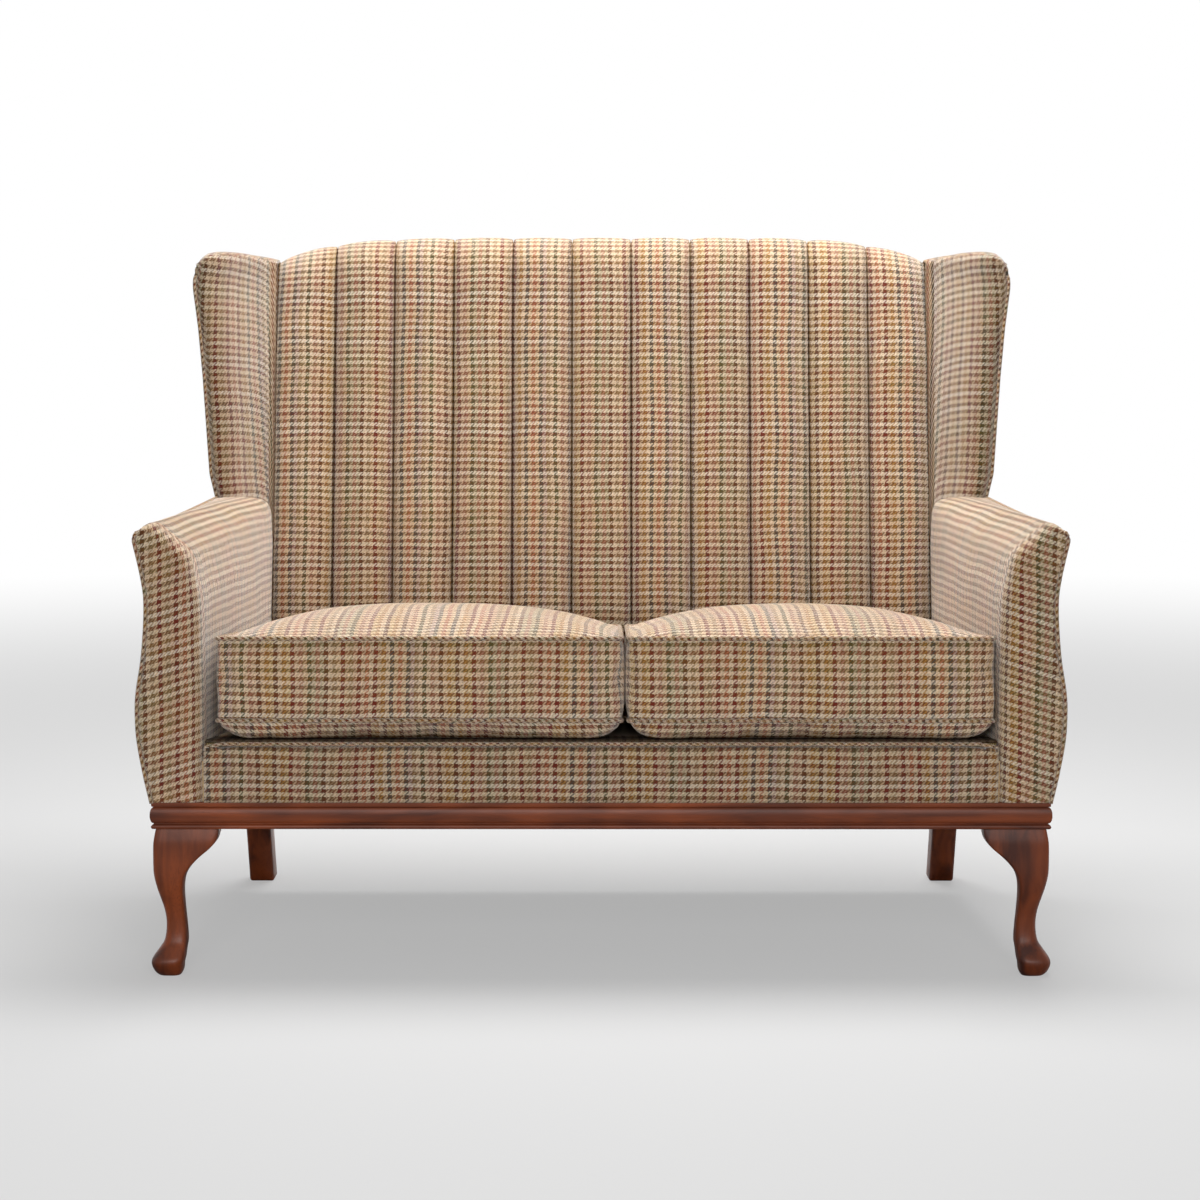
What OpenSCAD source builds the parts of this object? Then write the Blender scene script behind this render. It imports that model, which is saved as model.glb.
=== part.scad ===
/* [Seat frame] */
// Width over the show-wood moulding at the front
front_w = 1310; // [1150:5:1500]
// Width over the show-wood moulding at the back
rear_w = 1224; // [1100:4:1400]
// Front face of the upholstery to the rear face of the rear seat rail
frame_depth = 640; // [600:5:720]
// Floor to the underside of the seat rails
leg_h = 218; // [160:1:260]
// Height of the front seat rail at its front face
rail_h = 99; // [85:1:130]
// Thickness of the seat rails and of the front posts
rail_t = 28; // [22:1:34]
// Fall of the seat from front to back, in degrees
seat_pitch = 4.5; // [3:0.5:6]
// Width of the centre bearer under the springs
bearer_w = 30; // [20:1:45]
// Height of the centre bearer
bearer_h = 40; // [25:1:44]
// Leg length of the glued corner blocks
block_leg = 60; // [40:1:80]
// Height of the glued corner blocks
block_h = 46; // [30:1:60]
// Diameter of the frame dowels
dowel_d = 10; // [8:0.5:12]
// Length of the frame dowels
dowel_l = 44; // [36:1:60]

/* [Back] */
// Floor to the top of the back at its middle
back_top = 1088; // [1000:2:1180]
// Lean of the back frame from upright, in degrees
back_rake = 13; // [9:0.5:15]
// Depth of the back posts
post_d = 45; // [40:1:55]
// Width of the back posts
post_w = 45; // [36:1:50]
// Thickness of the back rails
back_rail_t = 28; // [20:1:36]
// Height of the top back rail at its middle
top_rail_h = 90; // [80:1:110]
// Height of the lower back rail
lower_rail_h = 60; // [40:1:80]
// Width of the upright slat in the middle of the back
slat_w = 60; // [40:1:80]
// Thickness of the upright slat in the back
slat_t = 20; // [14:1:20]
// How much the inside back widens from seat to top, on each side
back_spread = 10; // [0:1:14]
// Thickest padding on the back frame, at the small of the back
lumbar = 110; // [90:1:115]
// Number of flutes across the back
flutes = 11; // [7:1:12]
// Depth of the valleys between the flutes
flute_valley = 16; // [8:1:22]
// Fall of the top line from the middle to the corners
crest_drop = 40; // [15:1:50]
// Padding over the top back rail
crest_pad = 27; // [18:1:34]
// How far the back padding reaches below the top of the seat rails
back_pad_fall = 14; // [5:1:16]
// Thickness of the padded outside panels
panel_t = 12; // [8:1:13]

/* [Arms] */
// Height of the arm at its crest
arm_top = 663; // [600:2:720]
// Outward swell of the arm's front edge
arm_swell = 19; // [8:1:26]
// Width of an arm at the front, from the frame's outside to the seat
arm_w_front = 78; // [70:1:90]
// Width of an arm at the back, from the frame's outside to the seat
arm_w_rear = 74; // [72:1:80]
// Padding on the inside of the arm
arm_pad = 20; // [14:1:24]
// Height of the arm rail's own section
arm_rail_h = 25; // [18:1:30]
// Width of the arm rail
arm_rail_w = 26; // [22:1:28]
// Fall of the arm rail below the padding on the crest
arm_rail_drop = 6; // [4:1:20]

/* [Wings] */
// Height of the top of the wing
wing_top = 1056; // [960:2:1090]
// Outward flare of the wing's front edge at the top, past the arm
wing_flare = 45; // [10:1:50]
// Reach of the wing in front of the frame's rear face, at the arm
wing_reach_low = 103; // [90:1:140]
// Reach of the wing in front of the frame's rear face, at the top
wing_reach_high = 37; // [0:1:70]
// Thickness of the wing padding
wing_pad = 22; // [16:1:28]

/* [Show wood] */
// Height of the show-wood moulding
mould_h = 39; // [30:1:50]
// Thickness of the show-wood moulding
mould_t = 14; // [12:1:18]
// How far the moulding stands in front of the fabric
mould_proud = 4; // [2:0.5:6]
// Width of the front leg at its top
leg_top_w = 92; // [76:1:100]
// Thickness of the knee and its ears
leg_knee_t = 48; // [42:1:56]
// Width of the square rear leg
rear_leg_w = 41; // [32:1:45]
// Depth of the rear leg
rear_leg_d = 50; // [40:1:52]
// Lean of the rear leg, in degrees
rear_leg_rake = 23; // [10:1:26]
// Diameter of the leg bolts
bolt_d = 8; // [6:1:10]
// Length of the leg bolts
bolt_length = 88; // [70:2:110]

/* [Suspension] */
// Number of zigzag springs
springs = 9; // [6:1:10]
// Thickness of the spring wire
wire_d = 4; // [3:0.1:4.5]
// Width of a zigzag spring
spring_w = 46; // [36:1:54]
// Number of half waves in a spring
spring_waves = 16; // [12:2:20]
// Thickness of the spring clips
clip_t = 1; // [0.8:0.1:1.5]
// Thickness of the hessian
hessian_t = 1; // [0.8:0.1:1.6]
// Thickness of the seat platform pad
platform_t = 22; // [14:1:30]
// Thickness of the deck cloth
deck_t = 2; // [1:0.5:3]
// Width of the webbing strips in the back
web_w = 50; // [40:1:60]
// Thickness of the webbing
web_t = 2; // [1.5:0.1:2.5]

/* [Seat cushions] */
// Place of the line between the cushions, right of the middle
split_x = 35; // [0:1:60]
// Gap between the left cushion and the arm at the front
left_gap = 15; // [4:1:24]
// How far the seat cushions tuck in below the swell of the back
cushion_tuck = 12; // [0:1:13]
// Height of the boxing between the two welts
boxing_h = 119; // [90:1:135]
// Height of the lower welt over the deck
welt_lift = 28; // [16:1:34]
// Rise of the cushion's top over its welt
crown_top = 26; // [10:1:34]
// How far the cushion's front is drawn in at its middle
draw_in = 6; // [2:0.5:10]
// Diameter of the cushion piping
welt_d = 9; // [6:0.5:11]
// Diameter of the piping on the arms, wings and border
piping_d = 6; // [4:0.5:8]
// Length of the zip in a cushion
zip_l = 430; // [300:10:450]
// Width of the zip tape
zip_w = 24; // [18:1:30]
// Thickness of the zip tape
zip_t = 1; // [0.6:0.1:1.2]
// Length of a zip slider
slider_l = 12; // [8:1:16]
// Thickness of a zip slider
slider_t = 2.4; // [1.6:0.1:2.6]

/* [Hidden] */

// Overrun of every cut past the face it opens
overrun = 30;
// Clearance of fixed pieces, of loose cushions and of dowels in their bores
gap = 0.3;
cushion_gap = 1;
dowel_clear = 0.2;
beech = "#c9a36b";
mahogany = "#4a2015";
tweed = "#b49a78";
steel = "#9a9da1";
sacking = "#b29a6c";

// Levels of the seat: every layer lies on the pitched line of the deck
stack = deck_t + platform_t + hessian_t + wire_d + 2 * clip_t;
border_t = mould_t - mould_proud;
rail_top = leg_h + rail_h;
back_pad_z = rail_top - back_pad_fall;
rake_z = rail_top;
deck_z = rail_top + stack / cos(seat_pitch) + border_t * tan(seat_pitch);
mould_z = leg_h + mould_h;
recess = mould_t - panel_t;
function deck_at(u) = deck_z - u * tan(seat_pitch);
function rail_top_at(u) = deck_at(u) - stack / cos(seat_pitch);

// Plan of the frame: u runs from the upholstered front face to the back
function mix(a, b, s) = a + (b - a) * s;
function half_w(u) = mix(front_w, rear_w, u / frame_depth) / 2;
function rail_out(u) = half_w(u) - mould_t;
cushion_d = frame_depth - post_d - lumbar + cushion_tuck;
seat_w_front = front_w - 2 * arm_w_front;
seat_w_rear = rear_w - 2 * arm_w_rear;
back_w_low = seat_w_rear - 4 * cushion_gap;
back_w_high = back_w_low + 2 * back_spread;
function arm_inner(u) = mix(seat_w_front, seat_w_rear, min(u / cushion_d, 1)) / 2;
rear_front = frame_depth - post_d;
post_out = rail_out(frame_depth);
post_in = post_out - post_w;
stump_u = border_t;
stump_in = arm_inner(stump_u) + arm_pad;
side_rail_front = stump_u + rail_t;

// Lean of the back: rear face and front face of the back frame at height z
function rear_face(z) = frame_depth + max(z - rake_z, 0) * tan(back_rake);
function front_face(z) = rear_face(z) - post_d;
rake_run = (back_top - rake_z) * tan(back_rake);
total_depth = mould_proud + frame_depth + rake_run;
module place() { translate([0, mould_proud - total_depth / 2, 0]) children(); }
module right() { place() children(); }
module left() { mirror([1, 0, 0]) place() children(); }
module pitched() { translate([0, 0, deck_z]) rotate([-seat_pitch, 0, 0]) children(); }
module along_x(length) {
    translate([-length / 2, 0, 0]) rotate([90, 0, 90]) linear_extrude(length) children();
}

// Smooth curve through a list of points, with n steps between two of them
function bend(p, i, t) =
    let (a = p[max(i - 1, 0)], b = p[i], c = p[i + 1], d = p[min(i + 2, len(p) - 1)])
    (2 * b + (c - a) * t + (2 * a - 5 * b + 4 * c - d) * t * t
        + (3 * b - a - 3 * c + d) * t * t * t) / 2;
function smooth(p, n) =
    concat([for (i = [0:len(p) - 2], k = [0:n - 1]) bend(p, i, k / n)], [p[len(p) - 1]]);
function unit(v) = v / norm(v);
function heading(p, i) = unit(p[min(i + 1, len(p) - 1)] - p[max(i - 1, 0)]);
function side_of(p, i) = let (h = heading(p, i)) [-h.y, h.x];
function join(lists) = [for (list = lists) for (item = list) item];
function middle(ring) = [for (p = ring) 1] * ring / len(ring);

// Rings turned so that a solid through them faces outwards, whichever way round they run
function girth(ring, m) = [for (p = ring) 1] * [for (i = [0:len(ring) - 1])
    cross(ring[i] - m, ring[(i + 1) % len(ring)] - m)];
function turned(rings) =
    let (m = middle(rings[0]), way = girth(rings[0], m) * (middle(rings[len(rings) - 1]) - m))
    way < 0 ? rings : [for (ring = rings) [for (i = [len(ring) - 1:-1:0]) ring[i]]];
function skin_faces(n, m, count) = [for (j = [0:m - 1], i = [0:n - 1])
    let (a = j * n + i, b = j * n + (i + 1) % n, c = (a + n) % count, d = (b + n) % count)
    each [[a, b, d], [a, d, c]]];
// Closed solid through rings of equally many points, with flat ends of any outline
module loft(open_rings) {
    rings = turned(open_rings);
    n = len(rings[0]);
    m = len(rings);
    polyhedron(join(rings), concat(skin_faces(n, m - 1, n * m), [[for (i = [n - 1:-1:0]) i]],
        [[for (i = [0:n - 1]) (m - 1) * n + i]]), convexity = 6);
}
// The same with crowned ends, each closed by triangles to its middle
module crowned_loft(open_rings) {
    rings = turned(open_rings);
    n = len(rings[0]);
    m = len(rings);
    caps = [for (i = [0:n - 1])
        each [[(i + 1) % n, i, m * n], [(m - 1) * n + i, (m - 1) * n + (i + 1) % n, m * n + 1]]];
    polyhedron(concat(join(rings), [middle(rings[0]), middle(rings[m - 1])]),
        concat(skin_faces(n, m - 1, n * m), caps), convexity = 6);
}
// The same for thin strips, whose two long edges hold equally many points
module strip_loft(open_rings) {
    rings = turned(open_rings);
    n = len(rings[0]);
    m = len(rings);
    far = (m - 1) * n;
    caps = [for (i = [0:n / 2 - 2]) let (j = n - 1 - i)
        each [[i + 1, i, j], [i + 1, j, j - 1],
            [far + i, far + i + 1, far + j], [far + i + 1, far + j - 1, far + j]]];
    polyhedron(join(rings), concat(skin_faces(n, m - 1, n * m), caps), convexity = 6);
}
// A loop of rings that joins up with itself
module loop(rings) {
    n = len(rings[0]);
    m = len(rings);
    polyhedron(join(rings), skin_faces(n, m, n * m), convexity = 6);
}
// Round cord of six sides through a list of points in space
cord_sides = 6;
function across(p, i, up) = unit(cross(heading(p, i), up));
function cord_ring(p, i, r, up) =
    let (a = across(p, i, up), b = cross(a, heading(p, i)))
    [for (k = [0:cord_sides - 1]) let (w = 360 * k / cord_sides) p[i] + r * (a * cos(w) + b * sin(w))];
module cord(p, r, up = [0, 1, 0]) { crowned_loft([for (i = [0:len(p) - 1]) cord_ring(p, i, r, up)]); }

// Arm: outer edge of the front, as shares of height and of the swell
arm_edge_shares = [[0, 0], [0.1, 0.45], [0.23, 0.9], [0.33, 1], [0.41, 0.91],
    [0.55, 0.45], [0.72, 0.2], [0.84, 0.38], [1, 1]];
// Arm: the crest and the inside, as shares of width in from the edge and of height
arm_front_shares = [[0, 0.963], [0.1, 0.99], [0.25, 1], [0.47, 0.953], [0.79, 0.875], [0.91, 0.759],
    [0.98, 0.654], [0.995, 0.417], [1, 0.206], [1, 0.02]];
arm_rear_shares = [[0, 1.003], [0.21, 1.016], [0.5, 1.018], [0.8, 0.997], [0.92, 0.953], [0.96, 0.866],
    [0.98, 0.757], [0.99, 0.492], [1, 0.243], [1, 0.02]];
arm_ring_steps = 2;
arm_edge_steps = 8;
arm_edge_curve = smooth(arm_edge_shares, 3);
swell_fade_share = 0.7;
arm_pad_bottom = rail_top;
arm_tip = arm_pad_bottom + (arm_top - arm_pad_bottom) * arm_front_shares[0].y;
function arm_edge(u, z) =
    half_w(u) - recess
    + arm_swell * (1 - swell_fade_share * u / frame_depth)
        * lookup((z - mould_z) / (arm_tip - mould_z), arm_edge_curve);
// The seat side keeps to the front's curve for longer than a straight mix
arm_bend = 1.5;
function arm_share(u) = pow(min(max(u, 0) / cushion_d, 1), arm_bend);
function arm_control(u) = [for (i = [0:len(arm_front_shares) - 1])
    let (s = mix(arm_front_shares[i], arm_rear_shares[i], arm_share(u)),
        tip = arm_edge(u, arm_tip), w = tip - arm_inner(u))
    [tip - w * s.x, arm_pad_bottom + (arm_top - arm_pad_bottom) * s.y]];
function arm_path(u) = smooth(arm_control(u), arm_ring_steps);
pipe_notch = (piping_d / 2 + gap) * sqrt(2);
// Cross-section of the arm: its padded skin, its outer side and the lining over the frame.
// inset draws the skin in, as at the rounded front edge
function arm_low(u) = u >= stump_u ? arm_pad_bottom : mould_z + gap;
function arm_skin(u, inset) =
    let (p = arm_path(u), n = len(p) - 1)
    concat([p[0] - [pipe_notch + inset / 2, inset / 2]],
        [for (i = [1:n]) p[i] + side_of(p, i) * inset], [[p[n].x + inset, arm_low(u)]]);
function arm_side(u, notch, steps) =
    let (top = arm_path(u)[0].y - pipe_notch)
    [for (k = [0:steps]) let (z = mix(arm_low(u), top, k / steps)) [arm_edge(u, z) - notch, z]];
function arm_lining(u) =
    let (p = arm_path(u), n = len(p) - 1, top = p[0].y - pipe_notch)
    concat([[p[n].x + arm_pad, arm_pad_bottom]],
        [for (i = [n:-1:1]) p[i] + side_of(p, i) * mix(pipe_notch, arm_pad, min(1, 3 * i / n))],
        [[arm_edge(u, top), top]]);
function arm_outer(u, inset, notch, steps) = concat(arm_skin(u, inset), arm_side(u, notch, steps));
arm_core_z = arm_pad_bottom + arm_pad;
// The arm's rear end leans with the back posts
arm_end = front_face(rake_z);
function lean_share(u) = max(u - side_rail_front, 0) / (arm_end - side_rail_front);
function leaned(u, z) = u + lean_share(u) * max(z - rake_z, 0) * tan(back_rake);
function stand(ring, u) = [for (p = ring) [p.x, leaned(u, p.y), p.y]];
arm_stations_shares = [0.1, 0.2, 0.35, 0.5, 0.65, 0.82, 1];

// The whole arm, as what stands on it is cut to it
module arm_whole(grow) {
    steps = arm_edge_steps;
    loft(concat([stand(arm_outer(0, -grow, -grow, steps), 0),
            stand(arm_outer(stump_u - gap, -grow, -grow, steps), stump_u - gap),
            stand(arm_outer(stump_u, -grow, -grow, steps), stump_u)],
        [for (s = arm_stations_shares) stand(arm_outer(s * arm_end, -grow, -grow, steps), s * arm_end)]));
}
// Padding: a slab over the front post, then a shell over the rails, open to the outside panel
module inside_arm() {
    steps = len(arm_lining(0)) - 1;
    color(tweed) difference() {
        loft(concat([stand(arm_outer(0, pipe_notch, pipe_notch, steps), 0),
                stand(arm_outer(pipe_notch, 2 * gap, 0, steps), pipe_notch),
                stand(arm_outer(stump_u - gap, 0, 0, steps), stump_u - gap)],
            [for (u = concat([stump_u], [for (s = arm_stations_shares) s * arm_end]))
                stand(concat(arm_skin(u, 0), arm_lining(u)), u)]));
        wing_post_body(gap);
    }
}
function panel_ring(u, x_in) = concat(
    [for (k = [0:arm_edge_steps])
        let (z = mix(mould_z, arm_tip - pipe_notch - gap, k / arm_edge_steps)) [arm_edge(u, z), z]],
    [for (k = [arm_edge_steps:-1:0])
        let (z = mix(mould_z, arm_tip - pipe_notch - gap, k / arm_edge_steps)) [arm_edge(u, z) - x_in, z]]);
module outside_arm() {
    panel_front = stump_u + gap;
    color(tweed) strip_loft(concat([stand(panel_ring(panel_front, panel_t - gap), panel_front)],
        [for (s = arm_stations_shares) stand(panel_ring(s * arm_end, panel_t - gap), s * arm_end)],
        [[for (p = panel_ring(frame_depth, panel_t - gap)) [p.x, rear_face(p.y) - 2 * cushion_gap, p.y]]]));
}

// Front post: a board cut to the arm's outline, down to the underside of the rails
module front_post_body(grow) {
    p = arm_path(stump_u);
    n = len(p) - 1;
    first = 4;
    edge_top = p[0].y - arm_pad;
    outline = concat(
        [for (k = [0:arm_edge_steps])
            let (z = mix(mould_z, edge_top, k / arm_edge_steps))
            [arm_edge(side_rail_front, z) - panel_t - gap, z]],
        [for (i = [first:n - 2]) p[i] + side_of(p, i) * (arm_pad + gap)],
        [[stump_in, arm_core_z], [stump_in, leg_h], [rail_out(stump_u + rail_t), leg_h]]);
    translate([0, side_rail_front + grow, 0]) rotate([90, 0, 0]) linear_extrude(rail_t + grow)
        offset(delta = grow) polygon(outline);
}
module front_post() {
    color(beech) difference() {
        front_post_body(0);
        dowel_bores();
        leg_bores();
    }
}
// Side pieces that taper in plan from the front post to the back post
module tapered_rail(front_x, rear_x, width, z, height, from) {
    translate([0, 0, z]) linear_extrude(height)
        polygon([[front_x, from], [front_x - width, from], [rear_x - width, rear_front],
            [rear_x, rear_front]]);
}
module side_rail() {
    front_x = rail_out(side_rail_front);
    color(beech) tapered_rail(front_x, rail_out(rear_front), rail_t, leg_h, rail_h, side_rail_front);
}
// The arm rail lies under the crest and butts the leaning post
arm_rail_z = arm_top - 2 * arm_pad - arm_rail_drop - arm_rail_h;
module arm_rail() {
    front_x = arm_edge(side_rail_front, arm_rail_z) - panel_t;
    end = front_face(arm_rail_z);
    color(beech) difference() {
        translate([0, 0, arm_rail_z]) linear_extrude(arm_rail_h)
            polygon([[front_x, side_rail_front], [front_x - arm_rail_w, side_rail_front],
                [post_out - arm_rail_w, end + arm_rail_h], [post_out, end + arm_rail_h]]);
        back_post_body(0);
    }
}
lower_arm_z = arm_core_z + arm_pad;
module lower_arm_rail() {
    end = front_face(lower_arm_z);
    inside = arm_inner(end) + arm_pad + cushion_gap;
    color(beech) difference() {
        translate([0, 0, lower_arm_z]) linear_extrude(arm_rail_h)
            polygon([[stump_in + rail_t, side_rail_front], [stump_in, side_rail_front],
                [inside, cushion_d], [inside, end + arm_rail_h], [inside + rail_t, end + arm_rail_h],
                [inside + rail_t, cushion_d]]);
        back_post_body(0);
    }
}

// Seat rails follow the pitched line along their tops
module front_seat_rail() {
    color(beech) place() difference() {
        along_x(2 * stump_in) polygon([[stump_u, leg_h], [side_rail_front, leg_h],
            [side_rail_front, rail_top_at(side_rail_front)], [stump_u, rail_top_at(stump_u)]]);
        dowel_bores();
        mirror([1, 0, 0]) dowel_bores();
    }
}
rear_rail_u = frame_depth - rail_t;
module rear_seat_rail() {
    color(beech) place() difference() {
        along_x(2 * post_in) polygon([[rear_rail_u, leg_h], [frame_depth, leg_h],
            [frame_depth, rail_top_at(frame_depth)], [rear_rail_u, rail_top_at(rear_rail_u)]]);
        dowel_bores();
        mirror([1, 0, 0]) dowel_bores();
    }
}
module centre_seat_bearer() {
    color(beech) place() translate([-bearer_w / 2, side_rail_front, leg_h])
        cube([bearer_w, rear_rail_u - side_rail_front, bearer_h]);
}
module corner_pair() {
    inner = rail_out(side_rail_front) - rail_t;
    back = side_rail_front + block_leg;
    rear_inner = rail_out(rear_front) - rail_t;
    front_of_rear = rear_front - block_leg;
    translate([0, 0, leg_h]) linear_extrude(block_h) {
        polygon([[inner, side_rail_front], [rail_out(back) - rail_t, back],
            [inner - block_leg, side_rail_front]]);
        polygon([[rear_inner, rear_front], [rear_inner - block_leg, rear_front],
            [rail_out(front_of_rear) - rail_t, front_of_rear]]);
    }
}
module corner_blocks() {
    color(beech) {
        right() corner_pair();
        left() corner_pair();
    }
}

// Back frame
module back_post_body(top_drop) {
    top = back_top - crest_drop - crest_pad - top_drop;
    translate([post_in, 0, 0]) rotate([90, 0, 90]) linear_extrude(post_w)
        polygon([[rear_front, leg_h], [frame_depth, leg_h], [frame_depth, rake_z],
            [rear_face(top), top], [front_face(top), top], [rear_front, rake_z]]);
}
module back_post() {
    color(beech) difference() {
        back_post_body(0);
        dowel_bores();
        leg_bores();
    }
}
// A board in the lean of the back, flush with its rear face, between two heights
module leaning_board(half, low, high, thick) {
    along_x(2 * half) polygon([[rear_face(low) - thick, low], [rear_face(low), low],
        [rear_face(high), high], [rear_face(high) - thick, high]]);
}
crest_power = 6;
function crest_fall(share) = crest_drop * pow(abs(share), crest_power);
back_half_high = back_w_high / 2;
crest_steps = 9;
rail_crest = back_top - crest_pad;
top_rail_low = rail_crest - top_rail_h;
lower_rail_z = back_pad_z + lower_rail_h;
module crest_outline(top, half, bottom) {
    rotate([90, 0, 0]) translate([0, 0, -2 * total_depth]) linear_extrude(2 * total_depth)
        polygon(concat([[half, bottom], [-half, bottom]],
            [for (k = [-crest_steps:crest_steps])
                let (s = k / crest_steps) [s * half, top - crest_fall(s * half / back_half_high)]]));
}
module top_back_rail() {
    color(beech) place() difference() {
        intersection() {
            leaning_board(post_in, top_rail_low, rail_crest, back_rail_t);
            crest_outline(rail_crest, post_in, top_rail_low);
        }
        dowel_bores();
        mirror([1, 0, 0]) dowel_bores();
    }
}
module lower_back_rail() {
    color(beech) place() difference() {
        leaning_board(post_in, lower_rail_z, lower_rail_z + lower_rail_h, back_rail_t);
        dowel_bores();
        mirror([1, 0, 0]) dowel_bores();
    }
}
module back_slat() {
    color(beech) place() leaning_board(slat_w / 2, lower_rail_z + lower_rail_h, top_rail_low, slat_t);
}

// Dowels across the joints of the front, rear, lower and top rails, on the right-hand side
function dowel_places() = [
    [stump_in, side_rail_front - rail_t / 2, leg_h + rail_h / 4],
    [stump_in, side_rail_front - rail_t / 2, leg_h + rail_h * 3 / 4],
    [post_in, rear_rail_u + rail_t / 2, mix(leg_h, rail_top_at(frame_depth), 0.5)],
    [post_in, rear_face(lower_rail_z + lower_rail_h / 2) - back_rail_t / 2, lower_rail_z + lower_rail_h / 2],
    [post_in, rear_face(top_rail_low + top_rail_h / 4) - back_rail_t / 2, top_rail_low + top_rail_h / 4]
];
module at_dowels(d, l) {
    for (p = dowel_places()) translate([p.x - l / 2, p.y, p.z]) rotate([0, 90, 0])
        cylinder(d = d, h = l, $fn = 16);
}
module dowel_bores() { at_dowels(dowel_d + dowel_clear, dowel_l + 2 * gap); }
module frame_dowels() {
    color(beech) {
        right() at_dowels(dowel_d, dowel_l);
        left() at_dowels(dowel_d, dowel_l);
    }
}

// Bolts that hold the legs, half in the leg and half in the post over it
leg_x = rail_out(stump_u) - leg_knee_t / 2 + mould_t / 2;
leg_u = stump_u + rail_t / 2;
rear_bolt_x = post_out - rear_leg_w / 2;
rear_bolt_u = rear_front + post_d / 2;
module at_bolts(d, l) {
    for (p = [[leg_x, leg_u], [rear_bolt_x, rear_bolt_u]])
        translate([p.x, p.y, leg_h - l / 2]) cylinder(d = d, h = l, $fn = 16);
}
module leg_bores() { at_bolts(bolt_d + dowel_clear, bolt_length + 2 * gap); }
module leg_bolts() {
    color(steel) {
        right() at_bolts(bolt_d, bolt_length);
        left() at_bolts(bolt_d, bolt_length);
    }
}

// Wings
wing_seat = arm_top + gap;
wing_low = wing_seat - 2 * arm_pad;
wing_core_top = wing_top - wing_pad / 2 - gap;
function back_half(z) = mix(back_w_low, back_w_high, (z - deck_z) / (back_top - deck_z)) / 2;
wing_levels_shares = [0, 0.1, 0.3, 0.5, 0.7, 0.85, 1];
function wing_levels(from, clear) =
    concat([from], [for (s = wing_levels_shares) mix(arm_top, wing_core_top, s) - s * clear]);
// Flare of the wing's front edge over its height
wing_flare_shares = [[0, 0], [0.1, 0.19], [0.3, 0.31], [0.5, 0.44], [0.7, 0.62], [1, 1]];
wing_front_low = frame_depth - wing_reach_low;
wing_front_high = frame_depth - wing_reach_high;
function wing_share(z) = min(max((z - arm_top) / (wing_top - arm_top), 0), 1);
function wing_edge(z) = [
    arm_edge(wing_front_low, arm_tip) + wing_flare * lookup(wing_share(z), wing_flare_shares),
    mix(wing_front_low, wing_front_high, wing_share(z))];
// The wing's seat side: shares along the line from its edge to the back, and of the roll in front of it
wing_face_shares = [[0, 0], [0.04, 0.6], [0.14, 0.95], [0.28, 1], [0.48, 0.75], [0.72, 0.35], [1, 0]];
wing_roll = 20;
function wing_join(z) = [back_half(z) + cushion_gap, back_front(min(z, wing_top - crest_pad)) + flute_valley];
function wing_path(z) =
    let (a = wing_edge(z), c = wing_join(z), e = unit(c - a), f = [-e.y, e.x])
    smooth([for (s = wing_face_shares) a + (c - a) * s.x + f * (s.y * wing_roll)], 2);
function wing_rear(z) = [[wing_join(z).x, rear_face(z)], [post_out + panel_t, rear_face(z)]];
wing_notch = pipe_notch * 1.2;
function wing_skin(z) =
    let (p = wing_path(z)) concat([p[0] + unit(p[1] - p[0]) * wing_notch], [for (i = [1:len(p) - 1]) p[i]]);
function wing_side(z) = let (a = wing_edge(z)) a + unit(wing_rear(z)[1] - a) * wing_notch;
// Behind the skin: the lining over the wing's frame, and the closed top's rear and outer side
function wing_lining(z) =
    let (p = wing_path(z), n = len(p) - 1)
    [for (i = [n:-1:1]) p[i] - side_of(p, i) * mix(pipe_notch, wing_pad, min(1, 2 * i / n))];
function wing_closing(z) =
    let (n = len(wing_path(z)) - 2, r = wing_rear(z)) concat([r[0]],
        [for (i = [0:n - 1]) mix(r[1], wing_side(z), i / n)]);
function drawn_in(ring, inset) = let (m = middle(ring)) [for (q = ring) q + unit(m - q) * inset];
function raised(ring, z) = [for (p = ring) [p.x, p.y, z]];
wing_round_shares = [[0, 0], [0.45, 0.12], [0.8, 0.45], [1, 1]];
module wing_padding() {
    difference() {
        loft(concat(
            [for (z = wing_levels(wing_low, gap))
                raised(concat(wing_skin(z), wing_lining(z), [wing_side(z)]), z)],
            [for (r = wing_round_shares) let (z = mix(wing_core_top, wing_top, r.x))
                raised(drawn_in(concat(wing_skin(z), wing_closing(z), [wing_side(z)]),
                    r.y * wing_pad / 2), z)]));
        arm_whole(gap);
    }
}
module inside_wing() { color(tweed) wing_padding(); }
module outside_wing() {
    low = arm_tip + gap;
    function strip(z) =
        let (a = wing_edge(z), d = wing_rear(z)[1], e = unit(d - a), n = [-e.y, e.x],
            s = a + e * (wing_notch + gap))
        [s, d, d + [-panel_t + gap, 0], s + n * (panel_t - gap)];
    color(tweed) difference() {
        loft([for (z = wing_levels(low, gap)) raised(strip(z), z)]);
        arm_whole(gap);
        wing_padding();
        wing_post_body(gap);
    }
}
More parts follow.
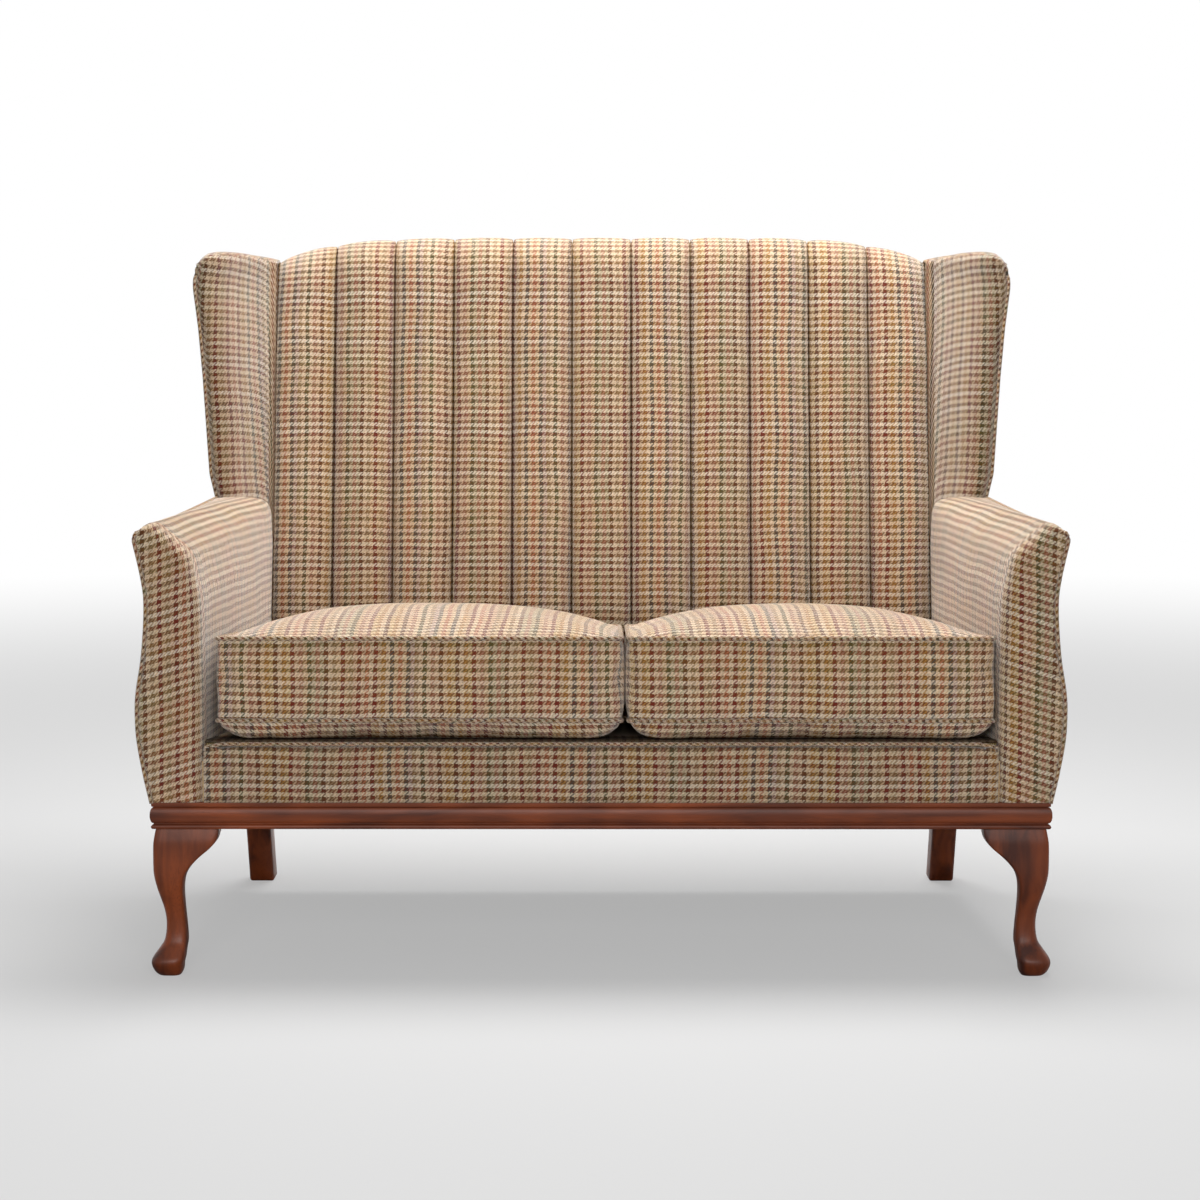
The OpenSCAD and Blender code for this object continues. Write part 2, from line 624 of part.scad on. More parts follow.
// Wing post and rail stand inside the wing's padding
wing_post_d = 28;
wing_post_t = 15;
function wing_post_at(z) =
    let (a = wing_edge(z), d = wing_rear(z)[1], e = unit(d - a), n = [-e.y, e.x],
        s = a + e * (2 * wing_pad + wing_roll) + n * (panel_t + gap))
    [s, s + e * wing_post_d, s + e * wing_post_d + n * wing_post_t, s + n * wing_post_t];
wing_post_low = arm_rail_z + arm_rail_h;
module wing_post_body(grow) {
    loft([for (z = wing_levels(wing_post_low, gap)) let (ring = wing_post_at(z), m = middle(ring))
        raised([for (q = ring) q + unit(q - m) * 2 * grow], z)]);
}
module wing_post() { color(beech) wing_post_body(0); }
rail_set_share = 0.35;
module wing_rail() {
    top = wing_core_top - gap;
    color(beech) difference() {
        loft([for (z = [top - arm_rail_h, top])
            let (q = wing_post_at(z), e = unit(q[1] - q[0]), long = norm([post_out, front_face(z)] - q[1]),
                near = mix(q[1], q[2], rail_set_share))
            raised([near - e * wing_post_d / 2, near + e * long,
                q[2] + e * long, q[2] - e * wing_post_d / 2], z)]);
        wing_post_body(0);
        back_post_body(0);
    }
}

// Fluted inside back: shares of height and of the padding's thickness, up the front and over the top
back_pad_shares = [[0, 0.74], [0.06, 0.79], [0.13, 0.93], [0.18, 0.99], [0.25, 0.985], [0.4, 0.85],
    [0.65, 0.64], [0.86, 0.47], [0.945, 0.39], [0.975, 0.29], [0.993, 0.15], [1, 0], [0.993, -0.18],
    [0.98, -0.31]];
valley_shares = [1, 1, 1, 1, 1, 1, 1, 1, 0.8, 0.55, 0.4, 0.3, 0.25, 0.15];
crest_from_share = 0.75;
crest_full_share = 0.95;
function back_front(z) =
    front_face(z) - lumbar * lookup((z - back_pad_z) / (back_top - back_pad_z),
        [for (i = [0:8]) back_pad_shares[i]]);
flute_steps = 5;
flute_power = 2.4;
function flute_dip(k) = pow(abs(2 * (k % flute_steps) / flute_steps - 1), flute_power);
function back_point(i, k) =
    let (a = 2 * k / (flutes * flute_steps) - 1,
        s = back_pad_shares[i], lo = back_pad_shares[max(i - 1, 0)],
        hi = back_pad_shares[min(i + 1, len(back_pad_shares) - 1)],
        tall = back_top - back_pad_z,
        run = [-(hi.y - lo.y) * lumbar, (hi.x - lo.x) * tall],
        out = unit([-run.y, run.x]),
        z = back_pad_z + tall * s.x,
        dip = flute_valley * valley_shares[i] * flute_dip(k),
        full = (s.x - crest_from_share) / (crest_full_share - crest_from_share),
        fall = crest_fall(a) * min(1, max(0, full)),
        zz = z - out.y * dip - fall)
    [a * back_half(zz), front_face(z) - lumbar * s.y - out.x * dip, zz];
back_layers = web_t * 2 + hessian_t;
function back_column(k) =
    let (a = 2 * k / (flutes * flute_steps) - 1, fall = crest_fall(a), n = len(back_pad_shares) - 1,
        zr = rail_crest - fall + 2 * gap, behind = back_rail_t + back_layers + gap)
    concat([for (i = [0:n]) back_point(i, k)], [[a * back_half(zr), rear_face(zr), zr]],
        [for (z = [zr, rake_z, back_pad_z]) [a * back_half(z), rear_face(z) - behind, z]]);
module inside_back() {
    color(tweed) place() loft([for (k = [0:flutes * flute_steps]) back_column(k)]);
}
module outside_back() {
    half = post_out + panel_t;
    low = leg_h;
    top = back_top - crest_pad;
    color(tweed) place() intersection() {
        translate([0, gap, 0]) along_x(2 * half) polygon([[frame_depth, low], [frame_depth + panel_t, low],
            [frame_depth + panel_t, rake_z], [rear_face(top) + panel_t, top], [rear_face(top), top],
            [frame_depth, rake_z]]);
        crest_outline(top, half, low);
    }
}

// Webbing and hessian on the front of the back rails
module leaning_sheet(half, low, high, back_off, thick) {
    along_x(2 * half) polygon([[rear_face(low) - back_off - thick, low], [rear_face(low) - back_off, low],
        [rear_face(high) - back_off, high], [rear_face(high) - back_off - thick, high]]);
}
web_low = lower_rail_z + gap;
web_high = rail_crest - crest_drop;
web_columns = 6;
web_rows = 4;
module back_webbing() {
    color(sacking) place() {
        for (k = [1:web_columns])
            translate([mix(-post_in, post_in, k / (web_columns + 1)), 0, 0])
                leaning_sheet(web_w / 2, web_low, web_high, back_rail_t, web_t - gap);
        for (k = [1:web_rows])
            let (z = mix(web_low, web_high, k / (web_rows + 1)))
            leaning_sheet(post_in - gap, z - web_w / 2, z + web_w / 2, back_rail_t + web_t, web_t);
    }
}
module back_hessian() {
    color(sacking) place()
        leaning_sheet(back_half_high - web_w, web_low, web_high, back_rail_t + 2 * web_t, hessian_t);
}

// Suspension of the seat, all of it in the pitched plane under the deck
wire_z = -stack + clip_t;
layer_front = stump_u + stack * sin(seat_pitch);
spring_front = layer_front + clip_t + wire_d;
spring_back = (frame_depth - clip_t - wire_d) / cos(seat_pitch);
spring_steps = 3;
function spring_line() = [for (k = [0:spring_waves * spring_steps])
    let (s = k / (spring_waves * spring_steps))
    [(spring_w - wire_d) / 2 * sin(180 * s * spring_waves), mix(spring_front, spring_back, s)]];
function spring_x(k) = mix(-1, 1, (k + 0.5) / springs) * (seat_w_rear / 2 - spring_w / 2);
module spring_shape() {
    p = spring_line();
    n = len(p) - 1;
    bar = spring_w / 2;
    polygon(concat([for (i = [0:n]) p[i] + side_of(p, i) * wire_d / 2],
        [for (i = [n:-1:0]) p[i] - side_of(p, i) * wire_d / 2]));
    for (y = [spring_front, spring_back]) translate([-bar / 2, y - wire_d / 2]) square([bar, wire_d]);
}
module seat_springs() {
    color(steel) place() pitched() for (k = [0:springs - 1])
        translate([spring_x(k), 0, wire_z]) linear_extrude(wire_d) spring_shape();
}
// A clip folds round the end bar of a spring and sits on the rail
module clip(end) {
    wide = spring_w / 3;
    deep = 3 * wire_d;
    back = wire_d / 2 + clip_t;
    rotate([90, 0, 90]) linear_extrude(wide, center = true) difference() {
        translate([end > 0 ? -deep : -back, -clip_t]) square([deep + back, wire_d + 2 * clip_t]);
        translate([end > 0 ? -deep - overrun : -wire_d / 2, 0]) square([deep + wire_d / 2 + overrun, wire_d]);
    }
}
module spring_clips() {
    color(steel) place() pitched() for (k = [0:springs - 1]) {
        translate([spring_x(k), spring_front, wire_z]) clip(-1);
        translate([spring_x(k), spring_back, wire_z]) clip(1);
    }
}
// A layer of the deck, narrowing with the arms
module deck_layer(from, to, side, z, thick) {
    pitched() translate([0, 0, z]) linear_extrude(thick)
        polygon([[arm_inner(from) - side, from], [arm_inner(to) - side, to],
            [side - arm_inner(to), to], [side - arm_inner(from), from]]);
}
deck_back = cushion_d + lumbar / 10;
roll_back = side_rail_front + 2 * wire_d;
module spring_hessian() {
    low = -deck_t - platform_t - hessian_t;
    color(sacking) place()
        deck_layer(layer_front, frame_depth - rail_t / 2, cushion_gap + wire_d, low, hessian_t);
}
module edge_roll() {
    color(sacking) place() deck_layer(layer_front, roll_back, cushion_gap, -deck_t - platform_t, platform_t);
}
module platform_pad() {
    color("#d8d2c4") place()
        deck_layer(roll_back + gap, deck_back, cushion_gap, -deck_t - platform_t, platform_t);
}
module deck_cloth() {
    color(tweed) place() deck_layer(border_t, deck_back, cushion_gap, -deck_t, deck_t);
}
// Thin cloth under the seat, cut out round the legs
module dust_cover() {
    corner = leg_top_w + mould_t;
    inset = mould_t / 2;
    front = stump_u + inset;
    back = frame_depth - inset;
    notch = rear_leg_w + mould_t;
    color("#26241f") place() translate([0, 0, leg_h - hessian_t]) linear_extrude(hessian_t) difference() {
        polygon([[rail_out(front) - inset, front], [rail_out(back) - inset, back],
            [inset - rail_out(back), back], [inset - rail_out(front), front]]);
        for (side = [-1, 1]) {
            translate([side > 0 ? half_w(0) - corner : -half_w(0), 0]) square([corner, corner]);
            translate([side > 0 ? post_out - notch : -post_out - overrun, rear_front - inset])
                square([notch + overrun, notch + overrun]);
        }
    }
}

// Show wood
band_steps = 8;
bead_share = 0.16;
fillet_share = 0.14;
band_share = 0.35;
module mould_profile() {
    base = mould_t * (1 - band_share);
    bead = mould_h * bead_share;
    fillet = mould_h * fillet_share;
    low = bead * 1.3;
    high = mould_h - fillet * 1.2;
    polygon(concat([[0, 0], [base, 0]],
        [for (k = [0:band_steps / 2]) let (w = 180 * k / (band_steps / 2) - 90)
            [base + bead / 2 * cos(w) + gap, bead / 2 + bead / 2 * sin(w)]],
        [[base, low]],
        [for (k = [0:band_steps]) let (w = 180 * k / band_steps - 90)
            [base + (mould_t - base) * cos(w), mix(low, high, (sin(w) + 1) / 2)]],
        [[base, high], [base + fillet / 2, mould_h - fillet], [base + fillet / 2, mould_h], [0, mould_h]]));
}
module front_moulding() {
    face = -mould_proud;
    color(mahogany) place() intersection() {
        translate([0, stump_u, leg_h]) mirror([0, 1, 0]) along_x(front_w) mould_profile();
        translate([0, 0, leg_h - overrun]) linear_extrude(mould_h + 2 * overrun)
            polygon([[half_w(face), face], [rail_out(stump_u), stump_u], [-rail_out(stump_u), stump_u],
                [-half_w(face), face]]);
    }
}
module side_moulding() {
    face = -mould_proud;
    run = frame_depth - face;
    turn = atan((half_w(face) - half_w(frame_depth)) / run);
    long = run / cos(turn) + 2 * overrun;
    color(mahogany) intersection() {
        translate([half_w(face), face, leg_h]) rotate([0, 0, turn])
            translate([-mould_t * cos(turn), 0, 0]) rotate([90, 0, 0])
                translate([0, 0, -long + overrun]) linear_extrude(long) mould_profile();
        translate([0, 0, leg_h - overrun]) linear_extrude(mould_h + 2 * overrun)
            polygon([[half_w(face) + overrun, face - overrun], [half_w(face), face],
                [rail_out(stump_u), stump_u], [rail_out(frame_depth), frame_depth],
                [half_w(frame_depth) + overrun, frame_depth]]);
    }
}
// Cabriole leg: shares of height, then of the top width for the outside and the inside of its curve
leg_shares = [[0, 0.01, -0.36], [0.025, 0.065, -0.385], [0.075, 0.108, -0.4], [0.115, 0.095, -0.42],
    [0.17, 0.005, -0.435], [0.23, -0.083, -0.452], [0.33, -0.115, -0.44], [0.44, -0.091, -0.42],
    [0.585, 0.002, -0.41], [0.68, 0.045, -0.45], [0.75, 0.053, -0.56], [0.81, 0.05, -0.7],
    [0.86, 0.047, -0.84], [0.91, 0.04, -0.945], [0.96, 0.02, -0.99], [1, 0, -1]];
// Roundness of the outer corner, as shares of the leg's thickness there
leg_round_shares = [[0, 0.45], [0.15, 0.4], [0.35, 0.45], [0.6, 0.3], [0.8, 0.12], [1, 0.04]];
leg_corner_steps = 4;
function leg_ring(s) =
    let (o = s.y * leg_top_w, i = s.z * leg_top_w, w = o - i, t = min(leg_knee_t, 0.8 * w),
        r = t * lookup(s.x, leg_round_shares), m = i + max(0.06 * w, w - leg_knee_t), e = r / 2,
        c = o - r, z = s.x * leg_h)
    concat([for (k = [0:leg_corner_steps])
        let (q = 90 * k / leg_corner_steps) [c + r * cos(q), c + r * sin(q), z]],
        [[i + e, o, z], [i, o - e, z], [i, o - t, z], [m, m, z], [o - t, i, z],
            [o - e, i, z], [o, i + e, z]]);
module front_leg() {
    corner = half_w(0) - mould_t / 2;
    color(mahogany) difference() {
        translate([corner, mould_t / 2 - mould_proud, 0]) mirror([0, 1, 0])
            loft([for (s = leg_shares) leg_ring(s)]);
        leg_bores();
    }
}
module rear_leg() {
    run = leg_h * tan(rear_leg_rake);
    top_front = frame_depth - rear_leg_d;
    color(mahogany) difference() {
        translate([post_out - rear_leg_w, 0, 0]) rotate([90, 0, 90]) linear_extrude(rear_leg_w)
            polygon([[top_front + run, 0], [top_front + run + rear_leg_d, 0], [frame_depth, leg_h],
                [top_front, leg_h]]);
        leg_bores();
    }
}

// Front border, with piping along its top edge
border_top = deck_z - piping_d - 2 * gap;
border_half = arm_inner(0) - cushion_gap;
module front_border() {
    bulge = mould_proud / 2;
    color(tweed) place() along_x(2 * border_half) polygon(concat([[stump_u - gap, mould_z + gap]],
        [for (k = [0:band_steps]) let (s = k / band_steps)
            [-bulge * sin(180 * s), mix(mould_z + gap, border_top, s)]],
        [[stump_u - gap, border_top]]));
}
pipe_r = piping_d / 2;
module side_cords() {
    cord([for (k = [0:arm_edge_steps])
        let (z = mix(mould_z + gap, arm_tip, k / arm_edge_steps)) [arm_edge(0, z), 0, z]], pipe_r);
    cord([for (s = arm_stations_shares) if (s * arm_end > 0 && s < 0.9)
        let (u = s * arm_end) [arm_edge(u, arm_tip), leaned(u, arm_tip), arm_control(u)[0].y]],
        pipe_r, [0, 0, 1]);
    cord([for (s = wing_levels_shares)
        let (z = mix(arm_top + pipe_r + gap, wing_core_top, s), e = wing_edge(z)) [e.x, e.y, z]], pipe_r);
}
module trim_piping() {
    color(tweed) {
        place() translate([-border_half, border_t / 2, border_top + pipe_r + gap]) rotate([0, 90, 0])
            cylinder(r = pipe_r, h = 2 * border_half, $fn = 16);
        right() side_cords();
        left() side_cords();
    }
}

// Loose seat cushions. A cushion is given by its inner and outer side; shares a and b run from -1 to 1
welt_r = welt_d / 2;
welt_notch = (welt_r + gap) * sqrt(2);
edge_shares = [-0.97, -0.85, -0.6, -0.3, 0, 0.3, 0.6, 0.85, 0.97];
corner_share = 0.99;
plan_shares = concat([for (s = edge_shares) [s, -1]], [[corner_share, -corner_share]],
    [for (s = edge_shares) [1, s]], [[corner_share, corner_share]],
    [for (s = edge_shares) [-s, 1]], [[-corner_share, corner_share]],
    [for (s = edge_shares) [-1, -s]], [[-corner_share, -corner_share]]);
top_welt_z = welt_lift + boxing_h;
crown_power = 2.6;
sink_power = 3;
crown_low = welt_lift * 1.2;
function swell(a, b, power) = (1 - pow(abs(a), power)) * (1 - pow(abs(b), power));
// side = [inner x, outer x at the front, outer x at the back]
function cushion_xy(side, a, b, inset) =
    let (front = (b < 0 ? draw_in * b * b : 0) * (1 - a * a),
        outer = mix(side[1], side[2], (b + 1) / 2), inner = side[0],
        x = mix(inner, outer, (a + 1) / 2), half = (outer - inner) / 2)
    [x - a * inset * sign(half), cushion_d / 2 * (1 + b) + front - b * inset];
function cushion_ring(side, r, inset, z, rise, sink) = [for (s = plan_shares)
    let (q = cushion_xy(side, s.x * r, s.y * r, inset), up = rise * swell(s.x * r, s.y * r, crown_power),
        down = sink * swell(s.x * r, s.y * r, sink_power))
    [q.x, q.y, max(gap, z + up - down)]];
crown_rings_shares = [0.25, 0.5, 0.75, 0.92];
function cushion_rings(side) = concat(
    [for (r = crown_rings_shares) cushion_ring(side, r, welt_r, welt_lift, 0, crown_low)],
    [cushion_ring(side, 1, welt_notch, welt_lift, 0, 0),
        cushion_ring(side, 1, 0, welt_lift + welt_notch, 0, 0),
        cushion_ring(side, 1, 0, top_welt_z - welt_notch, 0, 0),
        cushion_ring(side, 1, welt_notch, top_welt_z, 0, 0)],
    [for (k = [len(crown_rings_shares) - 1:-1:0])
        cushion_ring(side, crown_rings_shares[k], welt_r, top_welt_z, crown_top, 0)]);
cushion_half_gap = cushion_gap / 2 + welt_r;
rear_side = arm_inner(cushion_d) - 3 * cushion_gap - welt_r;
right_side = [split_x + cushion_half_gap, arm_inner(0) - 1.5 * cushion_gap - welt_r, rear_side];
left_side = [split_x - cushion_half_gap, left_gap + welt_r - arm_inner(0), -rear_side];
module cushion(side) {
    color(tweed) place() pitched()
        crowned_loft(cushion_rings(side));
}
module welts(side) {
    n = len(plan_shares);
    color(tweed) place() pitched() for (z = [welt_lift, top_welt_z]) {
        p = [for (s = plan_shares) let (q = cushion_xy(side, s.x, s.y, 0)) [q.x, q.y, z]];
        loop([for (i = [0:n - 1])
            let (h = unit(p[(i + 1) % n] - p[(i + n - 1) % n]), a = cross(h, [0, 0, 1]))
            [for (k = [0:cord_sides - 1]) let (w = 360 * k / cord_sides)
                p[i] + welt_r * (a * cos(w) + [0, 0, sin(w)])]]);
    }
}
// The zip runs along the rear boxing; its slider starts at the end by the middle of the settee
zip_z = welt_lift + boxing_h / 2;
function zip_mid(side) = (side[0] + side[2]) / 2;
module cushion_zip(side) {
    color("#5b4636") place() pitched() translate([zip_mid(side) - zip_l / 2, cushion_d, zip_z - zip_w / 2])
        cube([zip_l, zip_t, zip_w]);
}
slider_w = slider_l * 0.75;
module zip_slider(side) {
    start = zip_mid(side) - sign(zip_mid(side)) * (zip_l - slider_l) / 2;
    color("#b08d57") place() pitched()
        translate([start - slider_l / 2, cushion_d + zip_t + gap, zip_z - slider_w / 2]) {
        cube([slider_l, slider_t, slider_w]);
        translate([slider_l / 4, 0, -slider_l]) cube([slider_l / 2, slider_t / 2, slider_l]);
    }
}

front_seat_rail();
rear_seat_rail();
left() side_rail();  // left_side_rail
right() side_rail();  // right_side_rail
centre_seat_bearer();
corner_blocks();
left() front_post();  // left_front_post
right() front_post();  // right_front_post
left() arm_rail();  // left_arm_rail
right() arm_rail();  // right_arm_rail
left() lower_arm_rail();  // left_lower_arm_rail
right() lower_arm_rail();  // right_lower_arm_rail
left() back_post();  // left_back_post
right() back_post();  // right_back_post
top_back_rail();
lower_back_rail();
back_slat();
left() wing_post();  // left_wing_post
right() wing_post();  // right_wing_post
left() wing_rail();  // left_wing_rail
right() wing_rail();  // right_wing_rail
frame_dowels();
front_moulding();
left() side_moulding();  // left_side_moulding
right() side_moulding();  // right_side_moulding
left() front_leg();  // left_front_leg
right() front_leg();  // right_front_leg
left() rear_leg();  // left_rear_leg
right() rear_leg();  // right_rear_leg
leg_bolts();
seat_springs();
spring_clips();
spring_hessian();
edge_roll();
platform_pad();
deck_cloth();
back_webbing();
back_hessian();
dust_cover();
inside_back();
outside_back();
left() inside_arm();  // left_inside_arm
right() inside_arm();  // right_inside_arm
left() outside_arm();  // left_outside_arm
right() outside_arm();  // right_outside_arm
left() inside_wing();  // left_inside_wing
right() inside_wing();  // right_inside_wing
left() outside_wing();  // left_outside_wing
right() outside_wing();  // right_outside_wing
front_border();
trim_piping();
cushion(left_side);  // left_seat_cushion
cushion(right_side);  // right_seat_cushion
welts(left_side);  // left_cushion_piping
welts(right_side);  // right_cushion_piping
cushion_zip(left_side);  // left_cushion_zip
cushion_zip(right_side);  // right_cushion_zip
zip_slider(left_side);  // left_zip_slider
zip_slider(right_side);  // right_zip_slider
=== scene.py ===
import functools
import math

import bmesh
import bpy
from mathutils import Matrix, Vector, noise


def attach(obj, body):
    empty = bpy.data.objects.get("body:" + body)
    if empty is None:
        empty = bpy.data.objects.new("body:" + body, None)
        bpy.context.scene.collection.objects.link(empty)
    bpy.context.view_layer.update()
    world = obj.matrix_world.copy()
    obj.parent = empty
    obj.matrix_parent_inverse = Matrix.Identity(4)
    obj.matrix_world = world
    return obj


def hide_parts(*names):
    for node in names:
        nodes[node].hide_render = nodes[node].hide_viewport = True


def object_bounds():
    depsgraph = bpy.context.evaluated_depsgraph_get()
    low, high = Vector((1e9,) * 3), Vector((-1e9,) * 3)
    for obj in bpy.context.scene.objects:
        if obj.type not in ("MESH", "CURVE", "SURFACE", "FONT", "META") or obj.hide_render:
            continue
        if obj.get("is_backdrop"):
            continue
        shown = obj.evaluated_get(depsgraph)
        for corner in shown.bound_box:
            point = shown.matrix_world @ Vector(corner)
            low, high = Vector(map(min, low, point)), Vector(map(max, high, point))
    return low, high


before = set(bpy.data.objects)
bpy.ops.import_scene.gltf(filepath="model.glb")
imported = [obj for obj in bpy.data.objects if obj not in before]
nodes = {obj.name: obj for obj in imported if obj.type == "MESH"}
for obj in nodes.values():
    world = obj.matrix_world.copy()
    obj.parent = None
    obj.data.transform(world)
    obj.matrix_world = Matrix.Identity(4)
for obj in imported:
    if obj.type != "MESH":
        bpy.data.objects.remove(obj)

cad_box = [list(corner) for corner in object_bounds()]
scene = bpy.context.scene
scene.view_settings.view_transform = "Standard"

# STUDIO. A portrait lens a little over four metres in front of the settee, a pale floor that runs
# out to white behind it, one soft box overhead and a larger one in front, above the lens.


def colour(code):
    """A colour written as on a dye card, as the shader wants it."""
    parts = [int(code[i:i + 2], 16) / 255 for i in (1, 3, 5)]
    return [p / 12.92 if p < 0.04045 else ((p + 0.055) / 1.055) ** 2.4 for p in parts] + [1]


class Recipe:
    """The nodes of one shader. A feed is a plain value, an outlet, or a node in place of its first outlet."""

    def __init__(self, tree):
        self.tree = tree

    def feed(self, node, feeds):
        for name, value in feeds.items():
            outlet = value.outputs[0] if isinstance(value, bpy.types.Node) else value
            if isinstance(outlet, bpy.types.NodeSocket):
                self.tree.links.new(outlet, node.inputs[name])
            else:
                node.inputs[name].default_value = outlet
        return node

    def step(self, kind, feeds=None, **settings):
        made = self.tree.nodes.new("ShaderNode" + kind)
        for name, value in settings.items():
            setattr(made, name, value)
        return self.feed(made, feeds or {})

    def reckon(self, operation, *values):
        return self.step("Math", dict(enumerate(values)), operation=operation)

    def times(self, value, by):
        return self.reckon("MULTIPLY", value, by)

    def total(self, *values):
        return functools.reduce(functools.partial(self.reckon, "ADD"), values)

    def ranged(self, value, low, high, new_low=0.0, new_high=1.0, **settings):
        """A value between low and high, spread between two new ends."""
        return self.step("MapRange", {0: value, 1: low, 2: high, 3: new_low, 4: new_high}, **settings)

    def mixed(self, share, first, second):
        """Two colours, with a share of the second."""
        return self.step("Mix", {0: share, 6: first, 7: second}, data_type="RGBA").outputs[2]

    def shades(self, value, stops, hard=False):
        """A run of colours picked by a value from 0 to 1."""
        ramp = self.step("ValToRGB", {"Fac": value})
        ramp.color_ramp.interpolation = "CONSTANT" if hard else "LINEAR"
        while len(ramp.color_ramp.elements) < len(stops):
            ramp.color_ramp.elements.new(1)
        for element, (place, code) in zip(ramp.color_ramp.elements, stops):
            element.position = place
            element.color = colour(code)
        return ramp

    def specks(self, place, scale, detail=2, distortion=0):
        """Cloudy specks, so many to the metre."""
        feeds = {"Vector": place, "Scale": scale, "Detail": detail, "Distortion": distortion}
        return self.step("TexNoise", feeds)

    def bump(self, height, strength, distance):
        return self.step("Bump", {"Height": height, "Strength": strength, "Distance": distance})

    def object_place(self):
        return self.step("TexCoord").outputs["Object"]


def finish_of(name, **surface):
    """A new material, its recipe and its shader; what is the same all over is set on the shader itself."""
    material = bpy.data.materials.new(name)
    material.use_nodes = True
    shader = material.node_tree.nodes["Principled BSDF"]
    for key, value in surface.items():
        shader.inputs[key.replace("_", " ")].default_value = value
    return material, Recipe(material.node_tree), shader


lens_tilt_down = 6.044
lens_turn = 0.1
camera = bpy.data.objects.new("camera", bpy.data.cameras.new("camera"))
camera.data.lens = 85
camera.data.sensor_width = 36
camera.location = (0.0057, -4.467, 0.983)
camera.rotation_euler = (math.radians(90 - lens_tilt_down), 0, math.radians(lens_turn))
scene.collection.objects.link(camera)
scene.camera = camera

floor_mesh = bmesh.new()
bmesh.ops.create_grid(floor_mesh, x_segments=8, y_segments=8, size=15)
floor_data = bpy.data.meshes.new("studio_floor")
floor_mesh.to_mesh(floor_data)
floor_mesh.free()
floor = bpy.data.objects.new("studio_floor", floor_data)
scene.collection.objects.link(floor)
floor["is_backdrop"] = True
white = (1, 1, 1, 1)
paper_starts, paper_ends = 1.2, 6.0
floor_paint, recipe, shader = finish_of("floor_paint", Roughness=0.9, Specular_IOR_Level=0.1)
floor_place = recipe.object_place()
behind = recipe.times(recipe.step("SeparateXYZ", {0: floor_place}).outputs["Y"], 0.1)
# The floor is painted paler behind the settee, a painted fall-off of light.
painted_paler_floor = recipe.shades(behind, [(0, "#C9C9C9"), (0.12, "#D6D6D6"), (0.5, "#FFFFFF")])
recipe.feed(shader, {"Base Color": painted_paler_floor})
# To the lens alone the floor glows: half glow near the settee, which lifts its cast shadow as painted light,
# up to full white glow far off.
away = recipe.step("VectorMath", {0: floor_place}, operation="LENGTH").outputs["Value"]
fade = recipe.ranged(away, paper_starts, paper_ends, 0.5, 1.0, interpolation_type="SMOOTHSTEP")
painted_glow_share = recipe.times(fade, recipe.step("LightPath").outputs["Is Camera Ray"])
strength = recipe.ranged(away, paper_starts, paper_ends, 0.78, 1.0)
painted_glow = recipe.step("Emission", {"Color": white, "Strength": strength})
blend = recipe.step("MixShader", {0: painted_glow_share, 1: shader, 2: painted_glow})
recipe.feed(floor_paint.node_tree.nodes["Material Output"], {"Surface": blend})
floor_data.materials.append(floor_paint)

world = bpy.data.worlds.new("studio")
scene.world = world
world.use_nodes = True
recipe = Recipe(world.node_tree)
seen = recipe.step("LightPath").outputs
direct = recipe.reckon("MAXIMUM", seen["Is Camera Ray"], seen["Is Glossy Ray"])
direct = recipe.reckon("MAXIMUM", direct, seen["Is Transmission Ray"])
strength = recipe.ranged(direct, 0, 1, 0.18, 1.0)
recipe.feed(world.node_tree.nodes["Background"], {"Color": white, "Strength": strength})

lit_spot = Vector((0, 0, 0.5))
for name, place, size, power in (
    ("soft_box_overhead", (0.15, 0.4, 2.5), (1.6, 1.2), 100),
    ("soft_box_front", (0, -4.6, 1.8), (3.0, 2.0), 92),
):
    lamp = bpy.data.lights.new(name, "AREA")
    lamp.shape = "RECTANGLE"
    lamp.size, lamp.size_y = size
    lamp.energy = power
    holder = bpy.data.objects.new(name, lamp)
    holder.location = place
    holder.rotation_euler = (lit_spot - Vector(place)).to_track_quat("-Z", "Y").to_euler()
    scene.collection.objects.link(holder)

# BEECH FRAME. Planed beech rails, posts, blocks and dowels, glued and dowelled. All of it is hidden under
# the upholstery, so the sawn pieces stay as they are and only get their timber, with the grain along them.


def node_group(name, inputs, outputs):
    """A group that several materials share, as a recipe, with its inlets and its output node."""
    group = Recipe(bpy.data.node_groups.new(name, "ShaderNodeTree"))
    for in_out, sockets in (("INPUT", inputs), ("OUTPUT", outputs)):
        for label, kind in sockets.items():
            group.tree.interface.new_socket(label, in_out=in_out, socket_type="NodeSocket" + kind)
    return group, group.tree.nodes.new("NodeGroupInput").outputs, group.tree.nodes.new("NodeGroupOutput")


wood_grain, given, done = node_group(
    "wood_grain", {"Place": "Vector", "Light": "Color", "Dark": "Color"},
    {"Color": "Color", "Roughness": "Float", "Height": "Float"})
figure = wood_grain.step("Mapping", {"Vector": given["Place"], "Scale": (5, 46, 46)})
figure = wood_grain.specks(figure, 1, detail=5, distortion=0.7)
pores = wood_grain.step("Mapping", {"Vector": given["Place"], "Scale": (60, 900, 900)})
dark_pores = wood_grain.ranged(wood_grain.specks(pores, 1, detail=3), 0.5, 0.72, 0.0, 0.55)
cloud = wood_grain.specks(given["Place"], 9)
depth = wood_grain.total(wood_grain.times(figure, 0.75), wood_grain.times(cloud, 0.45))
depth = wood_grain.reckon("MAXIMUM", wood_grain.ranged(depth, 0.42, 0.78), dark_pores)
wood_grain.feed(done, {
    "Color": wood_grain.mixed(depth, given["Light"], given["Dark"]),
    "Roughness": wood_grain.ranged(depth, 0, 1, 0.3, 0.46),
    "Height": wood_grain.reckon("SUBTRACT", 1, dark_pores)})


